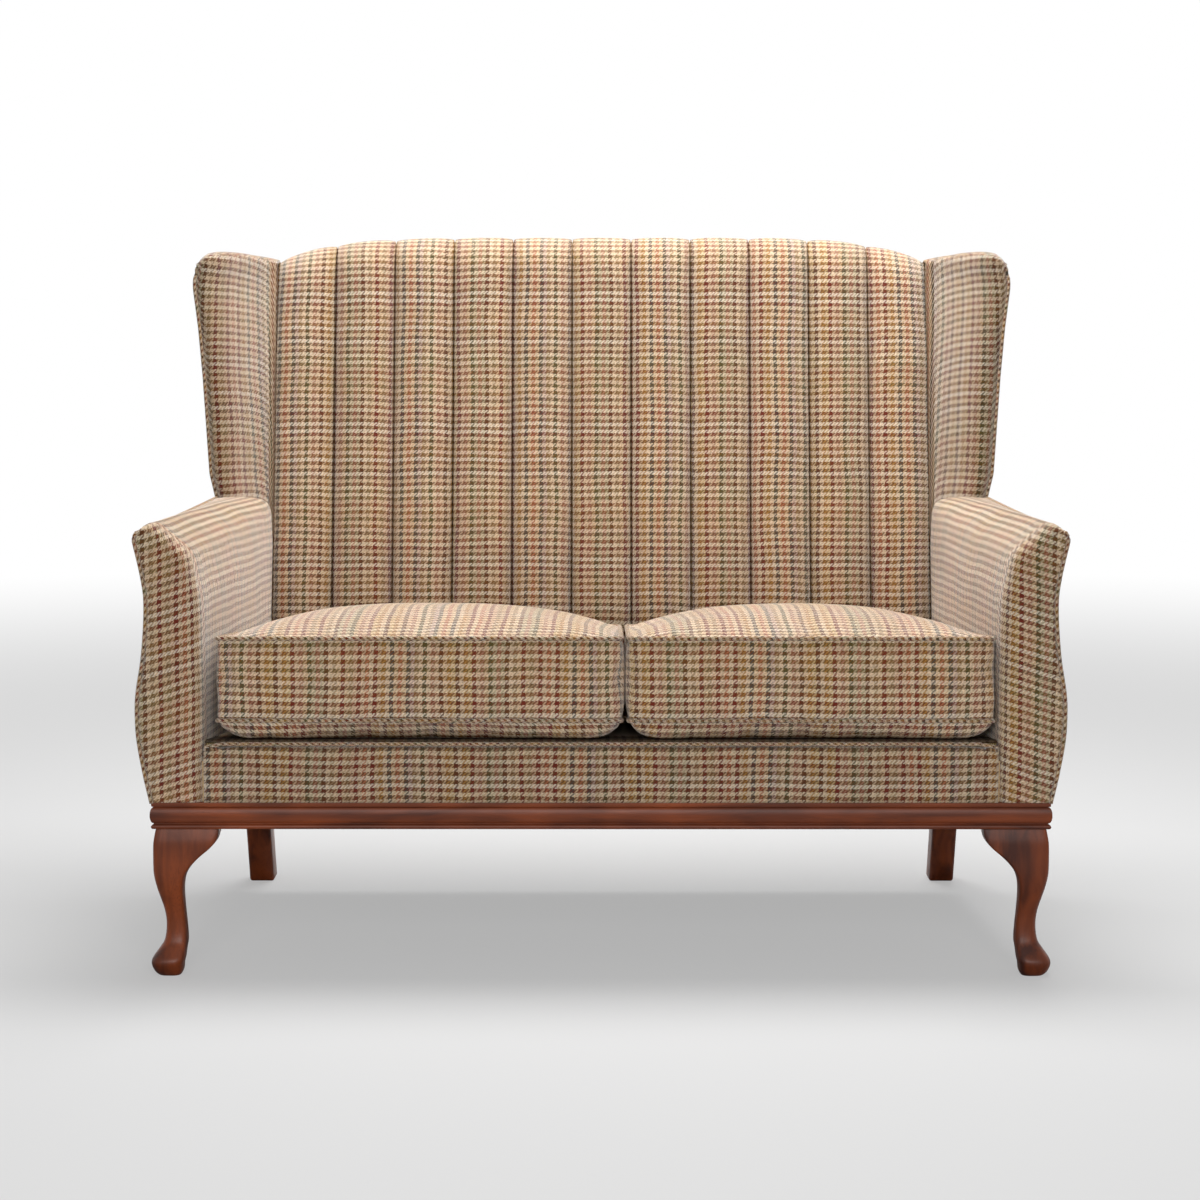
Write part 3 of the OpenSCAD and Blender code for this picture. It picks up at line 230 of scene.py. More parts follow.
def timber(name, light, dark, along, **surface):
    """Solid wood with its grain along the X, Y or Z axis."""
    material, recipe, shader = finish_of(name, **surface)
    turn = {"x": (0, 0, 0), "y": (0, 0, math.radians(90)), "z": (0, math.radians(90), 0)}[along]
    place = recipe.step("Mapping", {"Vector": recipe.object_place(), "Rotation": turn})
    grain = recipe.step("Group", node_tree=wood_grain.tree)
    recipe.feed(grain, {"Place": place, "Light": colour(light), "Dark": colour(dark)})
    recipe.feed(shader, {
        "Base Color": grain.outputs["Color"],
        "Roughness": grain.outputs["Roughness"],
        "Normal": recipe.bump(grain.outputs["Height"], 0.25, 0.0004)})
    return material


def dress(names, material):
    for name in names:
        nodes[name].data.materials.clear()
        nodes[name].data.materials.append(material)


beech = dict(light="#D8B98C", dark="#B98F5E")
dress(["front_seat_rail", "rear_seat_rail", "top_back_rail", "lower_back_rail", "frame_dowels",
       "corner_blocks"], timber("beech_across", along="x", **beech))
dress(["left_side_rail", "right_side_rail", "centre_seat_bearer", "left_arm_rail", "right_arm_rail",
       "left_lower_arm_rail", "right_lower_arm_rail", "left_wing_rail", "right_wing_rail"],
      timber("beech_deep", along="y", **beech))
dress(["left_front_post", "right_front_post", "left_back_post", "right_back_post", "back_slat",
       "left_wing_post", "right_wing_post"], timber("beech_upright", along="z", **beech))

# SHOW-WOOD MOULDING. Mahogany-stained hardwood along the front and both sides of the seat, mitred at the
# front corners: a fillet, a wide shallow band, a quirk and a bead below. Glued and pinned to the rails.

front_face_of_fabric = 0.407  # metres from the upholstered front back to the frame's own middle
settee_deep = 640
front_width, rear_width = 655, 612  # half the width over the moulding, in front and behind
leg_height = 218
moulding_depth = 14
moulding_height = 39
moulding_top = leg_height + moulding_height


def spot(x, depth, height):
    """A place on the settee from millimetres across, back from the upholstered front, and up."""
    return Vector((x / 1000, depth / 1000 - front_face_of_fabric, height / 1000))


def mix(a, b, share):
    return a + (b - a) * share


def held(share):
    """A share kept between 0 and 1."""
    return min(max(share, 0), 1)


def half_width(depth):
    """Half the width over the moulding: the settee narrows towards its back."""
    return mix(front_width, rear_width, depth / settee_deep)


def lay_down(name, mesh, materials, node, body="settee", keen=None, outside=None, thickness=None):
    """Makes the finished piece, puts it on its body and takes the plain solid away. A cloth's right side is
    turned to a point outside, and its thickness lies behind it."""
    bmesh.ops.recalc_face_normals(mesh, faces=mesh.faces)
    mesh.normal_update()
    if outside and sum(face.normal.dot(Vector(outside) - face.calc_center_median()) * face.calc_area()
                       for face in mesh.faces) < 0:
        bmesh.ops.reverse_faces(mesh, faces=mesh.faces)
    data = bpy.data.meshes.new(name)
    mesh.to_mesh(data)
    mesh.free()
    for material in materials:
        data.materials.append(material)
    data.shade_smooth()
    if keen:
        data.set_sharp_from_angle(angle=math.radians(keen))
    piece = bpy.data.objects.new(name, data)
    scene.collection.objects.link(piece)
    if thickness:
        wall = piece.modifiers.new("thickness", "SOLIDIFY")
        wall.thickness = thickness
        wall.offset = -1
    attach(piece, body)
    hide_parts(node)
    return piece


def arc(middle_out, middle_up, out, up, start, end, count):
    turns = [math.radians(mix(start, end, k / count)) for k in range(count + 1)]
    return [(middle_out + out * math.cos(t), middle_up + up * math.sin(t)) for t in turns]


# out from the rail and up from the legs
moulding_line = (
    [(0, 0), (9.2, 0)] + arc(9.6, 3.5, 3.1, 3.3, -80, 80, 8) + [(9.3, 7.2), (9.3, 8.7)]
    + arc(9.9, 20.6, 4.1, 11.4, -86, 86, 14) + [(9.5, 32.4), (9.5, 33.0)]
    + arc(10.6, 34.2, 1.3, 1.0, -90, 0, 4) + arc(10.9, 37.8, 1.2, 1.2, 0, 90, 4) + [(0, moulding_height)])


def front_corner(out):
    """The mitre at the right front corner, so far out across and down in depth."""
    return mix(half_width(10) - moulding_depth, half_width(-4), out / moulding_depth), 10 - out


def rear_end(out):
    return 598 + out, settee_deep


def on_left(place):
    """The same end of a moulding on the left side."""
    return lambda out: (-place(out)[0], place(out)[1])


def moulding(name, start, end, node, material):
    """A length of moulding between two ends."""
    mesh = bmesh.new()
    near = [mesh.verts.new(spot(*start(out), leg_height + up)) for out, up in moulding_line]
    section = mesh.faces.new(near)
    far = bmesh.ops.extrude_face_region(mesh, geom=[section])["geom"]
    far = {vert: vert.co.copy() for vert in far if isinstance(vert, bmesh.types.BMVert)}
    for (out, up), vert in zip(moulding_line, near):
        twin = next(other for other, place in far.items() if (place - vert.co).length < 1e-7)
        twin.co = spot(*end(out), leg_height + up)
        del far[twin]
    return lay_down(name, mesh, [material], node, keen=38)


show_wood = dict(light="#88401C", dark="#3C1709", Coat_Weight=0.09, Coat_Roughness=0.2,
                 Specular_IOR_Level=0.22)
mahogany_x = timber("mahogany_across", along="x", **show_wood)
mahogany_y = timber("mahogany_deep", along="y", **show_wood)
mahogany_z = timber("mahogany_upright", along="z", **show_wood)
moulding("front_show_wood", on_left(front_corner), front_corner, "front_moulding", mahogany_x)
moulding("right_show_wood", front_corner, rear_end, "right_side_moulding", mahogany_y)
moulding("left_show_wood", on_left(front_corner), on_left(rear_end), "left_side_moulding", mahogany_y)

# FRONT LEGS. Cabriole legs with a pad foot, band-sawn from a square block both ways and carved round, with
# an ear to each side at the knee. Bolted up into the front posts.


def curve_through(points, steps):
    """A smooth line through points of any size, with so many steps between two of them."""
    line = []
    for i in range(len(points) - 1):
        a, b = points[max(i - 1, 0)], points[i]
        c, d = points[i + 1], points[min(i + 2, len(points) - 1)]
        for k in range(steps):
            t = k / steps
            line.append(tuple(
                (2 * q + (r - p) * t + (2 * p - 5 * q + 4 * r - s) * t ** 2
                 + (3 * q - p - 3 * r + s) * t ** 3) / 2 for p, q, r, s in zip(a, b, c, d)))
    return line + [tuple(points[-1])]


def read_off(table, at):
    """Straight reading between the entries of a table of pairs."""
    if at <= table[0][0]:
        return table[0][1]
    for (x0, y0), (x1, y1) in zip(table, table[1:]):
        if at <= x1:
            return y0 if x1 == x0 else mix(y0, y1, (at - x0) / (x1 - x0))
    return table[-1][1]


def corners_cut(ring):
    return [tuple(mix(p, q, share) for p, q in zip(a, b))
            for a, b in zip(ring, ring[1:] + ring[:1]) for share in (0.25, 0.75)]


leg_out, leg_back = 648, 3
knee_width = 92
knee_thickness = 48
# height, then the outside and the inside of the curve, as shares of the leg's height and of the knee's width
leg_line = [(0, 0.0, -0.35), (0.012, 0.035, -0.37), (0.035, 0.075, -0.39), (0.075, 0.108, -0.4),
            (0.115, 0.095, -0.42), (0.17, 0.005, -0.435), (0.23, -0.083, -0.452), (0.33, -0.115, -0.44),
            (0.44, -0.091, -0.42), (0.585, 0.002, -0.41), (0.68, 0.045, -0.45), (0.75, 0.053, -0.56),
            (0.81, 0.05, -0.7), (0.86, 0.047, -0.84), (0.91, 0.04, -0.945), (0.96, 0.02, -0.99), (1, 0, -1)]
leg_roundness = [(0, 0.5), (0.15, 0.42), (0.35, 0.48), (0.6, 0.32), (0.8, 0.14), (1, 0.06)]


def leg_ring(share, outside, inside):
    """The leg's outline at a share of its height: rounded outside, and two ears round a hollow inside."""
    out, back = outside * knee_width, inside * knee_width
    wide = out - back
    thick = min(knee_thickness, 0.8 * wide)
    turn = thick * read_off(leg_roundness, share)
    hollow = back + max(0.06 * wide, wide - knee_thickness)
    ring = [(out - turn + turn * math.cos(t), out - turn + turn * math.sin(t))
            for t in (math.radians(22.5 * k) for k in range(5))]
    ring += [(back + turn / 2, out), (back, out - turn / 2), (back, out - thick), (hollow, hollow)]
    ring += [(out - thick, back), (out - turn / 2, back), (out, back + turn / 2)]
    return corners_cut(corners_cut(ring))


for side, name in ((-1, "left"), (1, "right")):
    mesh = bmesh.new()
    below = None
    for share, outside, inside in curve_through(leg_line, 4):
        verts = [mesh.verts.new(spot(side * (leg_out + x), leg_back - y, share * leg_height))
                 for x, y in leg_ring(share, outside, inside)]
        edges = [mesh.edges.new(ends) for ends in zip(verts, verts[1:] + verts[:1])]
        if below:
            bmesh.ops.bridge_loops(mesh, edges=below + edges)
        else:
            bmesh.ops.contextual_create(mesh, geom=edges)
        below = edges
    bmesh.ops.contextual_create(mesh, geom=below)
    lay_down(name + "_cabriole_leg", mesh, [mahogany_z], name + "_front_leg", keen=50)

# REAR LEGS. Square legs of the same wood as the front ones, sawn on the rake, with softened edges below the
# rail. Bolted to the back posts.

rear_leg_out, rear_leg_back = 577.5, 615
rear_leg_wide, rear_leg_deep = 41, 50
rear_leg_rake = math.tan(math.radians(23))
for side, name in ((-1, "left"), (1, "right")):
    mesh = bmesh.new()
    bmesh.ops.create_cube(mesh, size=1)
    for vert in mesh.verts:
        height = (vert.co.z + 0.5) * leg_height
        back = rear_leg_back + rear_leg_deep * vert.co.y + (leg_height - height) * rear_leg_rake
        vert.co = spot(side * (rear_leg_out + rear_leg_wide * vert.co.x), back, height)
    bmesh.ops.recalc_face_normals(mesh, faces=mesh.faces)
    below_rail = [edge for edge in mesh.edges if min(vert.co.z for vert in edge.verts) < 0.2]
    bmesh.ops.bevel(mesh, geom=below_rail, offset=0.0045, segments=4, affect="EDGES", profile=0.5,
                    material=-1)
    lay_down(name + "_raked_leg", mesh, [mahogany_z], name + "_rear_leg", keen=30)

# STEELWORK. Zinc-plated leg bolts with their nuts and washers, and the zigzag springs of the seat, held to
# the rails by pressed clips.


def speckled(name, scale, detail, stops, gloss=None, relief=None, **surface):
    """A material that is cloudy in its colour, and perhaps in its gloss and its height."""
    material, recipe, shader = finish_of(name, **surface)
    specks = recipe.specks(recipe.object_place(), scale, detail)
    recipe.feed(shader, {"Base Color": recipe.shades(specks, stops)})
    if gloss:
        recipe.feed(shader, {"Roughness": recipe.ranged(specks, 0, 1, *gloss)})
    if relief:
        recipe.feed(shader, {"Normal": recipe.bump(specks, 0.8, relief)})
    return material


plated = speckled("plated_steel", 160, 4, [(0.3, "#8C8E92"), (0.7, "#B9BBBE")], gloss=(0.25, 0.5),
                  Metallic=1.0)
dress(["leg_bolts", "seat_springs", "spring_clips"], plated)

# HESSIAN AND WEBBING. Jute hessian is tacked over the springs and over the back webbing, whose striped strips
# are interlaced and tacked to the back rails.

cushion_deep = 497
rail_top = 317
seat_pitch = math.radians(4.5)
deck_height = rail_top + 31 / math.cos(seat_pitch) + 10 * math.tan(seat_pitch)
back_lean = math.tan(math.radians(13))


def arm_inside(depth):
    """Half the width between the arms, which close in as far back as the cushions reach."""
    return mix(577, 538, min(depth / cushion_deep, 1))


def pitched(x, back, up):
    """A place on the seat, whose deck falls towards the back."""
    cosine, sine = math.cos(seat_pitch), math.sin(seat_pitch)
    return spot(x, back * cosine + up * sine, deck_height - back * sine + up * cosine)


def rear_face(height):
    return settee_deep + max(height - rail_top, 0) * back_lean


def faces_at(verts):
    return {face for vert in verts for face in vert.link_faces}


def cloth_map(mesh):
    return mesh.loops.layers.uv.get("UVMap") or mesh.loops.layers.uv.new("UVMap")


def rechart(mesh, faces, place):
    """Gives each corner of some faces a new place in the cloth, from where it is and from its old place."""
    chart = cloth_map(mesh)
    for face in faces:
        for loop in face.loops:
            loop[chart].uv = place(loop.vert.co, loop[chart].uv)


def run_from(points, start):
    """How far each point lies along a line from one of its points."""
    run = [0.0] * len(points)
    for k in range(start + 1, len(points)):
        run[k] = run[k - 1] + (points[k] - points[k - 1]).length
    for k in range(start - 1, -1, -1):
        run[k] = run[k + 1] - (points[k] - points[k + 1]).length
    return run


def cloth_patch(mesh, across, along, place, origin=(0, 0), anchor=(0.5, 0), mirror=1, tuck=None, drag=None,
                columns=None):
    """A rectangle of cloth: place(s, t) says where it lies for shares of its width and length. The cloth's
    own map is measured along it from the anchor. Tuck gives, for a strip, the column to measure from and its
    place in the cloth, and drag is what the rows are pulled down at a seam."""
    chart = cloth_map(mesh)
    laid = bmesh.ops.create_grid(mesh, x_segments=across, y_segments=along, size=0.5)["verts"]
    index = {vert: (round((vert.co.x + 0.5) * across), round((vert.co.y + 0.5) * along)) for vert in laid}
    columns = columns or [i / across for i in range(across + 1)]
    lie = [[Vector(place(columns[i], j / along)) for j in range(along + 1)] for i in range(across + 1)]
    first_column, first_row = round(anchor[0] * across), round(anchor[1] * along)
    u = [run_from([column[j] for column in lie], first_column) for j in range(along + 1)]
    v = [run_from(column, first_row) for column in lie]
    for face in faces_at(laid):
        middle, base = tuck(min(index[vert][0] for vert in face.verts)) if tuck else (first_column, 0)
        for loop in face.loops:
            i, j = index[loop.vert]
            pull = drag(columns[i]) if drag else 0
            loop[chart].uv = (origin[0] + mirror * (u[j][i] - u[j][middle] + base),
                              origin[1] + v[i][j] + pull)
    for vert, (i, j) in index.items():
        vert.co = lie[i][j]
    return laid


def threads(weave, place, thread):
    """The threads counted both ways, and how high each one's round back stands."""
    along = weave.step("SeparateXYZ", {0: place}).outputs
    counts = [weave.reckon("DIVIDE", along[axis], thread) for axis in ("X", "Y")]
    return ([weave.reckon("FLOOR", count) for count in counts],
            [weave.reckon("SINE", weave.times(weave.reckon("FRACT", count), math.pi)) for count in counts])


plain_weave, given, done = node_group(
    "plain_weave", {"Cloth": "Vector", "Thread": "Float"}, {"Height": "Float", "Slub": "Float"})
whole, round_back = threads(plain_weave, given["Cloth"], given["Thread"])
over = plain_weave.reckon("FLOORED_MODULO", plain_weave.total(*whole), 2)
plain_weave.feed(done, {
    "Height": plain_weave.step("Mix", {0: over, 2: round_back[0], 3: round_back[1]}),
    "Slub": plain_weave.specks(given["Cloth"], 420, detail=4)})


def coarse_cloth(name, thread, light, dark, stripe=None):
    """A plain-woven cloth, on a strip with a stripe along each edge."""
    material, recipe, shader = finish_of(name, Roughness=0.95, Specular_IOR_Level=0.15, Sheen_Weight=0.15)
    cloth = recipe.step("UVMap", uv_map="UVMap")
    weave = recipe.step("Group", node_tree=plain_weave.tree)
    recipe.feed(weave, {"Cloth": cloth, "Thread": thread})
    # Painted shade between threads: the colour darkens where each thread falls away from its round back;
    # slubs vary the tone.
    painted_shade_and_tone = recipe.times(weave.outputs["Height"], recipe.total(0.5, weave.outputs["Slub"]))
    base = recipe.shades(painted_shade_and_tone, [(0.05, dark), (0.75, light)])
    if stripe:
        side = recipe.reckon("ABSOLUTE", recipe.step("SeparateXYZ", {0: cloth}).outputs["X"])
        off = recipe.reckon("ABSOLUTE", recipe.reckon("SUBTRACT", side, 0.017))
        base = recipe.mixed(recipe.ranged(off, 0.002, 0.0024, 1.0, 0.0), base, colour(stripe))
    bump = recipe.bump(weave.outputs["Height"], 0.7, thread * 0.4)
    recipe.feed(shader, {"Base Color": base, "Normal": bump})
    return material


hessian = coarse_cloth("jute_hessian", 0.0016, "#BFA878", "#7C6740")
webbing = coarse_cloth("jute_webbing", 0.0011, "#C9B78E", "#8C7A54", stripe="#2A2622")
towards_sitter = (0, -3, 0.5)
straight_up = (0, 0, 2)


def spring_hessian_spot(s, t):
    depth = mix(14, 620, t)
    sag = 0.9 * math.sin(s * 9 * math.pi) ** 2 * math.sin(t * math.pi)
    return pitched(mix(-1, 1, s) * (arm_inside(depth) - 5), depth, -24.6 - sag)


mesh = bmesh.new()
cloth_patch(mesh, 120, 60, spring_hessian_spot)
piece = lay_down("hessian_over_springs", mesh, [hessian], "spring_hessian",
                 outside=straight_up, thickness=0.0008)


def back_hessian_spot(s, t):
    height = mix(363.5, 1020.5, t)
    return spot(mix(-496, 496, s), rear_face(height) - 32.3, height)


mesh = bmesh.new()
cloth_patch(mesh, 60, 60, back_hessian_spot)
piece = lay_down("hessian_over_webbing", mesh, [hessian], "back_hessian",
                 outside=towards_sitter, thickness=0.0007)

upright_strips, cross_strips = 6, 4
strip_half = 25
webbing_foot, webbing_head = 363.4, 1020.6


def webbing_spot(x, height, wave):
    """A place on a strip, which waves over and under the ones that cross it."""
    return spot(x, rear_face(height) - 29.1 - 0.6 * (1 + wave), height)


mesh = bmesh.new()
for k in range(1, upright_strips + 1):
    middle = mix(-553, 553, k / (upright_strips + 1))
    cloth_patch(mesh, 8, 96, lambda s, t: webbing_spot(
        middle + mix(-strip_half, strip_half, s), mix(webbing_foot, webbing_head, t),
        -math.cos(math.pi * (2 * (cross_strips + 1) * t - k % 2))))
for k in range(1, cross_strips + 1):
    middle = mix(webbing_foot, webbing_head, k / (cross_strips + 1))
    cloth_patch(mesh, 8, 120, lambda s, t: webbing_spot(
        mix(-552, 552, t), middle + mix(-strip_half, strip_half, s),
        math.cos(math.pi * (2 * (upright_strips + 1) * t - k % 2))))
lay_down("jute_webbing_strips", mesh, [webbing], "back_webbing",
         outside=towards_sitter, thickness=0.0011)

# TWEED. A wool houndstooth: four light and four dark threads in turn both ways in a two-and-two twill, so the
# teeth run up to the right. The dark groups change from check to check: brown, maroon, slate, moss and rust.

houndstooth, given, done = node_group(
    "houndstooth", {"Cloth": "Vector", "Thread": "Float", "Painted_Shade_And_Light": "Float"},
    {"Color": "Color", "Height": "Float"})


def strayed(scale, detail, reach):
    """How far the threads stray from their line, either way."""
    stray = houndstooth.specks(given["Cloth"], scale, detail).outputs["Color"]
    stray = houndstooth.step("VectorMath", {0: stray, 1: (0.5, 0.5, 0.5)}, operation="SUBTRACT")
    return houndstooth.step("VectorMath", {0: stray, "Scale": reach}, operation="SCALE")


place = houndstooth.step("VectorMath", {0: strayed(150, 2, 0.0026), 1: given["Cloth"]}, operation="ADD")
place = houndstooth.step("VectorMath", {0: place, 1: strayed(7, 1, 0.009)}, operation="ADD")
whole, round_back = threads(houndstooth, place, given["Thread"])
light_groups = ("#D6B48C #CDAB83 #CEA685 #C0A394 #B9A986 #CDAD7A #D3B08E #DABD9A".split(),
                "#EEDDC1 #EAD6B7 #EAD2B9 #E4CCAC #F0E1CB #E8D4B5 #EAD0B1 #E2C9AC".split())
dark_groups = ("#663920 #7D2E22 #524C44 #575332 #693E24 #B87B4D #B48244 #B87251 #A4845F #AE7B61".split(),
               "#764823 #5F3A20 #7D5224 #80492A #6C542A #6D4124 #702F1E #6D4E36 #5D381E #6E4528".split())
group_threads = 4
yarns = []
for axis, repeat in enumerate((22, 19)):
    bundle = houndstooth.reckon("FLOOR", houndstooth.reckon("DIVIDE", whole[axis], 2 * group_threads))
    bundle = houndstooth.reckon("FLOORED_MODULO", bundle, repeat)
    pale_pick, deep_pick = (
        houndstooth.step("TexWhiteNoise", {"W": houndstooth.total(bundle, 0.5 + 31 * n + 7 * axis)},
                         noise_dimensions="1D").outputs["Value"] for n in (0, 1))
    if axis == 0:
        turn_about = houndstooth.times(houndstooth.reckon("FLOORED_MODULO", bundle, 2), 0.5)
        deep_pick = houndstooth.total(houndstooth.times(deep_pick, 0.5), turn_about)
    pale, deep = (
        houndstooth.shades(pick, [(k / len(card), code) for k, code in enumerate(card)], hard=True)
        for pick, card in ((pale_pick, light_groups[axis]), (deep_pick, dark_groups[axis])))
    turn = houndstooth.reckon("FLOORED_MODULO", whole[axis], 2 * group_threads)
    yarns.append(houndstooth.mixed(houndstooth.reckon("LESS_THAN", turn, group_threads), deep, pale))
warp_up = houndstooth.reckon("FLOORED_MODULO", houndstooth.reckon("SUBTRACT", *whole), 4)
warp_up = houndstooth.reckon("LESS_THAN", warp_up, 2)
woven = houndstooth.mixed(houndstooth.total(houndstooth.times(warp_up, 0.68), 0.16), yarns[1], yarns[0])
crown = houndstooth.step("Mix", {0: warp_up, 2: round_back[1], 3: round_back[0]})
fluff = houndstooth.ranged(houndstooth.specks(given["Cloth"], 760, detail=3), 0.3, 0.7)
patchy = houndstooth.specks(given["Cloth"], 14, detail=3)
mottled = houndstooth.specks(given["Cloth"], 270, detail=3)
# Painted shade and tone: each thread is lighter along its round back and darker at its edges, which is
# painted shade; fluff and cloudy patches vary the tone at random.
painted_shade_and_tone = houndstooth.total(houndstooth.times(crown, 0.34), houndstooth.times(fluff, 0.42), -0.02,
                         houndstooth.times(patchy, 0.12), houndstooth.times(mottled, 0.8))
# The pieces' hollow attribute darkens the colour as painted shade; a negative value brightens it as painted
# light.
painted_shade_and_tone = houndstooth.times(painted_shade_and_tone, houndstooth.reckon("SUBTRACT", 1, given["Painted_Shade_And_Light"]))
houndstooth.feed(done, {
    "Color": houndstooth.step("VectorMath", {0: woven, "Scale": painted_shade_and_tone}, operation="SCALE"),
    "Height": houndstooth.total(crown, houndstooth.times(fluff, 0.5))})


def tweed_cut(name, turned=0, stretch=1.0, sheen_weight=0.82):
    """The tweed, cut straight or on the bias, with more or less sheen; without sheen it is the copy laid
    where shade falls.
    """
    material, recipe, shader = finish_of(name, Roughness=0.95, Specular_IOR_Level=0.12, Sheen_Weight=sheen_weight,
                                         Sheen_Roughness=0.31, Sheen_Tint=colour("#FFFCF8"))
    cloth = recipe.step("Mapping", {
        "Vector": recipe.step("UVMap", uv_map="UVMap"),
        "Rotation": (0, 0, math.radians(turned)),
        "Scale": (stretch, stretch, 1)})
    weave = recipe.step("Group", node_tree=houndstooth.tree)
    # The hollow attribute carries each piece's painted shade and painted light into the tweed's colour.
    hollow = recipe.step("Attribute", attribute_name="hollow").outputs["Fac"]
    recipe.feed(weave, {"Cloth": cloth, "Thread": 0.0015, "Painted_Shade_And_Light": hollow})
    recipe.feed(shader, {"Base Color": weave.outputs["Color"],
                         "Normal": recipe.bump(weave.outputs["Height"], 0.8, 0.0007)})
    return material


tweed = tweed_cut("tweed")
tweed_bias = tweed_cut("tweed_on_the_bias", turned=45, stretch=1.7, sheen_weight=0.4)
# A shaded copy of the tweed with no sheen, laid on faces in seams, gaps and undersides so they render darker:
# painted shade.
tweed_shaded_copy = tweed_cut("tweed_shaded_copy_without_sheen", sheen_weight=0.0)

# INSIDE ARMS. The tweed runs in one piece over the padded arm stump, round its soft front edge, over the
# crest and down inside the arm. It is stretched over wadding and stapled.

arm_top = 663
arm_tip = rail_top + (arm_top - rail_top) * 0.963
arm_base = moulding_top - 2
sleeve_end = 590
sleeve_foot = 296
post_back = 595
corner_turn = 60  # depth over which the front's cloth turns into the sleeve's
arm_roll = 20
arm_rows = 64
arm_deep = 60
crest_depth = 16
edge_line = curve_through([(0, 0), (0.1, 0.45), (0.23, 0.9), (0.33, 1), (0.41, 0.91), (0.55, 0.45),
                           (0.72, 0.2), (0.84, 0.38), (1, 1)], 6)
# shares of the arm's width in from its outer tip, and of its height over the seat rail
crest_front = [(0, 0.963), (0.1, 0.99), (0.25, 1), (0.47, 0.953), (0.79, 0.875), (0.91, 0.759), (0.98, 0.654),
               (0.995, 0.417), (1, 0.206), (1, 0.02)]
crest_rear = [(0, 1.003), (0.21, 1.006), (0.5, 1.004), (0.8, 0.983), (0.92, 0.942), (0.96, 0.866),
              (0.98, 0.757), (0.99, 0.492), (1, 0.243), (1, 0.02)]


def arm_edge(depth, height):
    """How far out the arm's edge lies: it swells twice, less towards the back, and rounds in at the tip."""
    swell = read_off(edge_line, (height - moulding_top) / (arm_tip - moulding_top))
    rounding = 7 * max(0, (height - arm_tip + crest_depth) / crest_depth) ** 2.4
    rounding -= 3 * max(0, (height - arm_tip + 90) / 90)
    return half_width(depth) - 2 + 19 * (1 - 0.7 * depth / settee_deep) * swell - rounding


def arm_line(depth):
    """The arm's section at a depth, from its outer tip over the crest and down the inside."""
    share = held(depth / cushion_deep) ** 1.5
    tip = arm_edge(depth, arm_tip)
    wide = tip - arm_inside(depth)
    points = [(tip - wide * mix(a[0], b[0], share), rail_top + (arm_top - rail_top) * mix(a[1], b[1], share))
              for a, b in zip(crest_front, crest_rear)]
    return curve_through(points, 6)


def leaned(depth, height):
    """Over the seat rail the arm leans back more and more towards its post."""
    return depth + max(depth - 38, 0) / (post_back - 38) * max(height - rail_top, 0) * back_lean


def arm_section(depth, foot):
    """The section again from the foot of the inside up to the tip, in equal steps of its length."""
    line = arm_line(depth)[::-1]
    line = [(line[0][0], foot)] + line
    run = [0]
    for a, b in zip(line, line[1:]):
        run.append(run[-1] + math.dist(a, b))
    across, up = ([(r, point[axis]) for r, point in zip(run, line)] for axis in (0, 1))
    return [(read_off(across, run[-1] * j / arm_rows), read_off(up, run[-1] * j / arm_rows))
            for j in range(arm_rows + 1)]


front_line = arm_section(0, arm_base)
sleeve_lines = [arm_section(depth, mix(arm_base, sleeve_foot, min(depth / corner_turn, 1)))
                for depth in (mix(arm_roll, sleeve_end, k / arm_deep) for k in range(arm_deep + 1))]


def arm_row(t):
    """A row across the front of the arm: its number, its inner and outer ends, and how far it rolls back."""
    j = round(t * arm_rows)
    x, z = front_line[j]
    height = mix(arm_base, arm_tip, j / arm_rows)
    edge = arm_edge(0, height) - 2.5
    return j, x, z, edge, height, min(arm_roll, 0.45 * math.hypot(edge - x, z - height))


def arm_front(side, s, t):
    """The front of the arm: straight rows from the outer edge to the inside, rolled back at their ends."""
    j, x, z, edge, height, roll = arm_row(t)
    a, b = front_line[max(j - 1, 0)], front_line[min(j + 1, arm_rows)]
    long = math.dist(a, b) or 1
    in_x, in_z = (b[1] - a[1]) / long, (a[0] - b[0]) / long
    flat_share = 0.7
    if s <= flat_share:
        k = s / flat_share
        ends = math.sin(math.pi * min(max(t, 0.02), 0.98)) ** 0.6
        proud = 2.6 * math.sin(math.pi * min(k * 1.15, 1)) * ends
        return spot(side * mix(edge, x + in_x * roll, k), -proud, mix(height, z + in_z * roll, k))
    turn = math.radians(90 * (s - flat_share) / (1 - flat_share))
    left = roll * (1 - math.sin(turn))
    return spot(side * (x + in_x * left), roll * (1 - math.cos(turn)), z + in_z * left)


def arm_sleeve(side, s, t):
    """The rest of the cover, from the roll over the crest and the inside back to the post."""
    j, x, z, *_, roll = arm_row(t)
    if s == 0:
        return spot(side * x, roll, z)
    depth = mix(roll, sleeve_end, s)
    share = min(depth / 24, 1)
    sleeve_x, sleeve_z = sleeve_lines[round(s * arm_deep)][j]
    return spot(side * mix(x, sleeve_x, share), leaned(depth, sleeve_z), mix(z, sleeve_z, share))


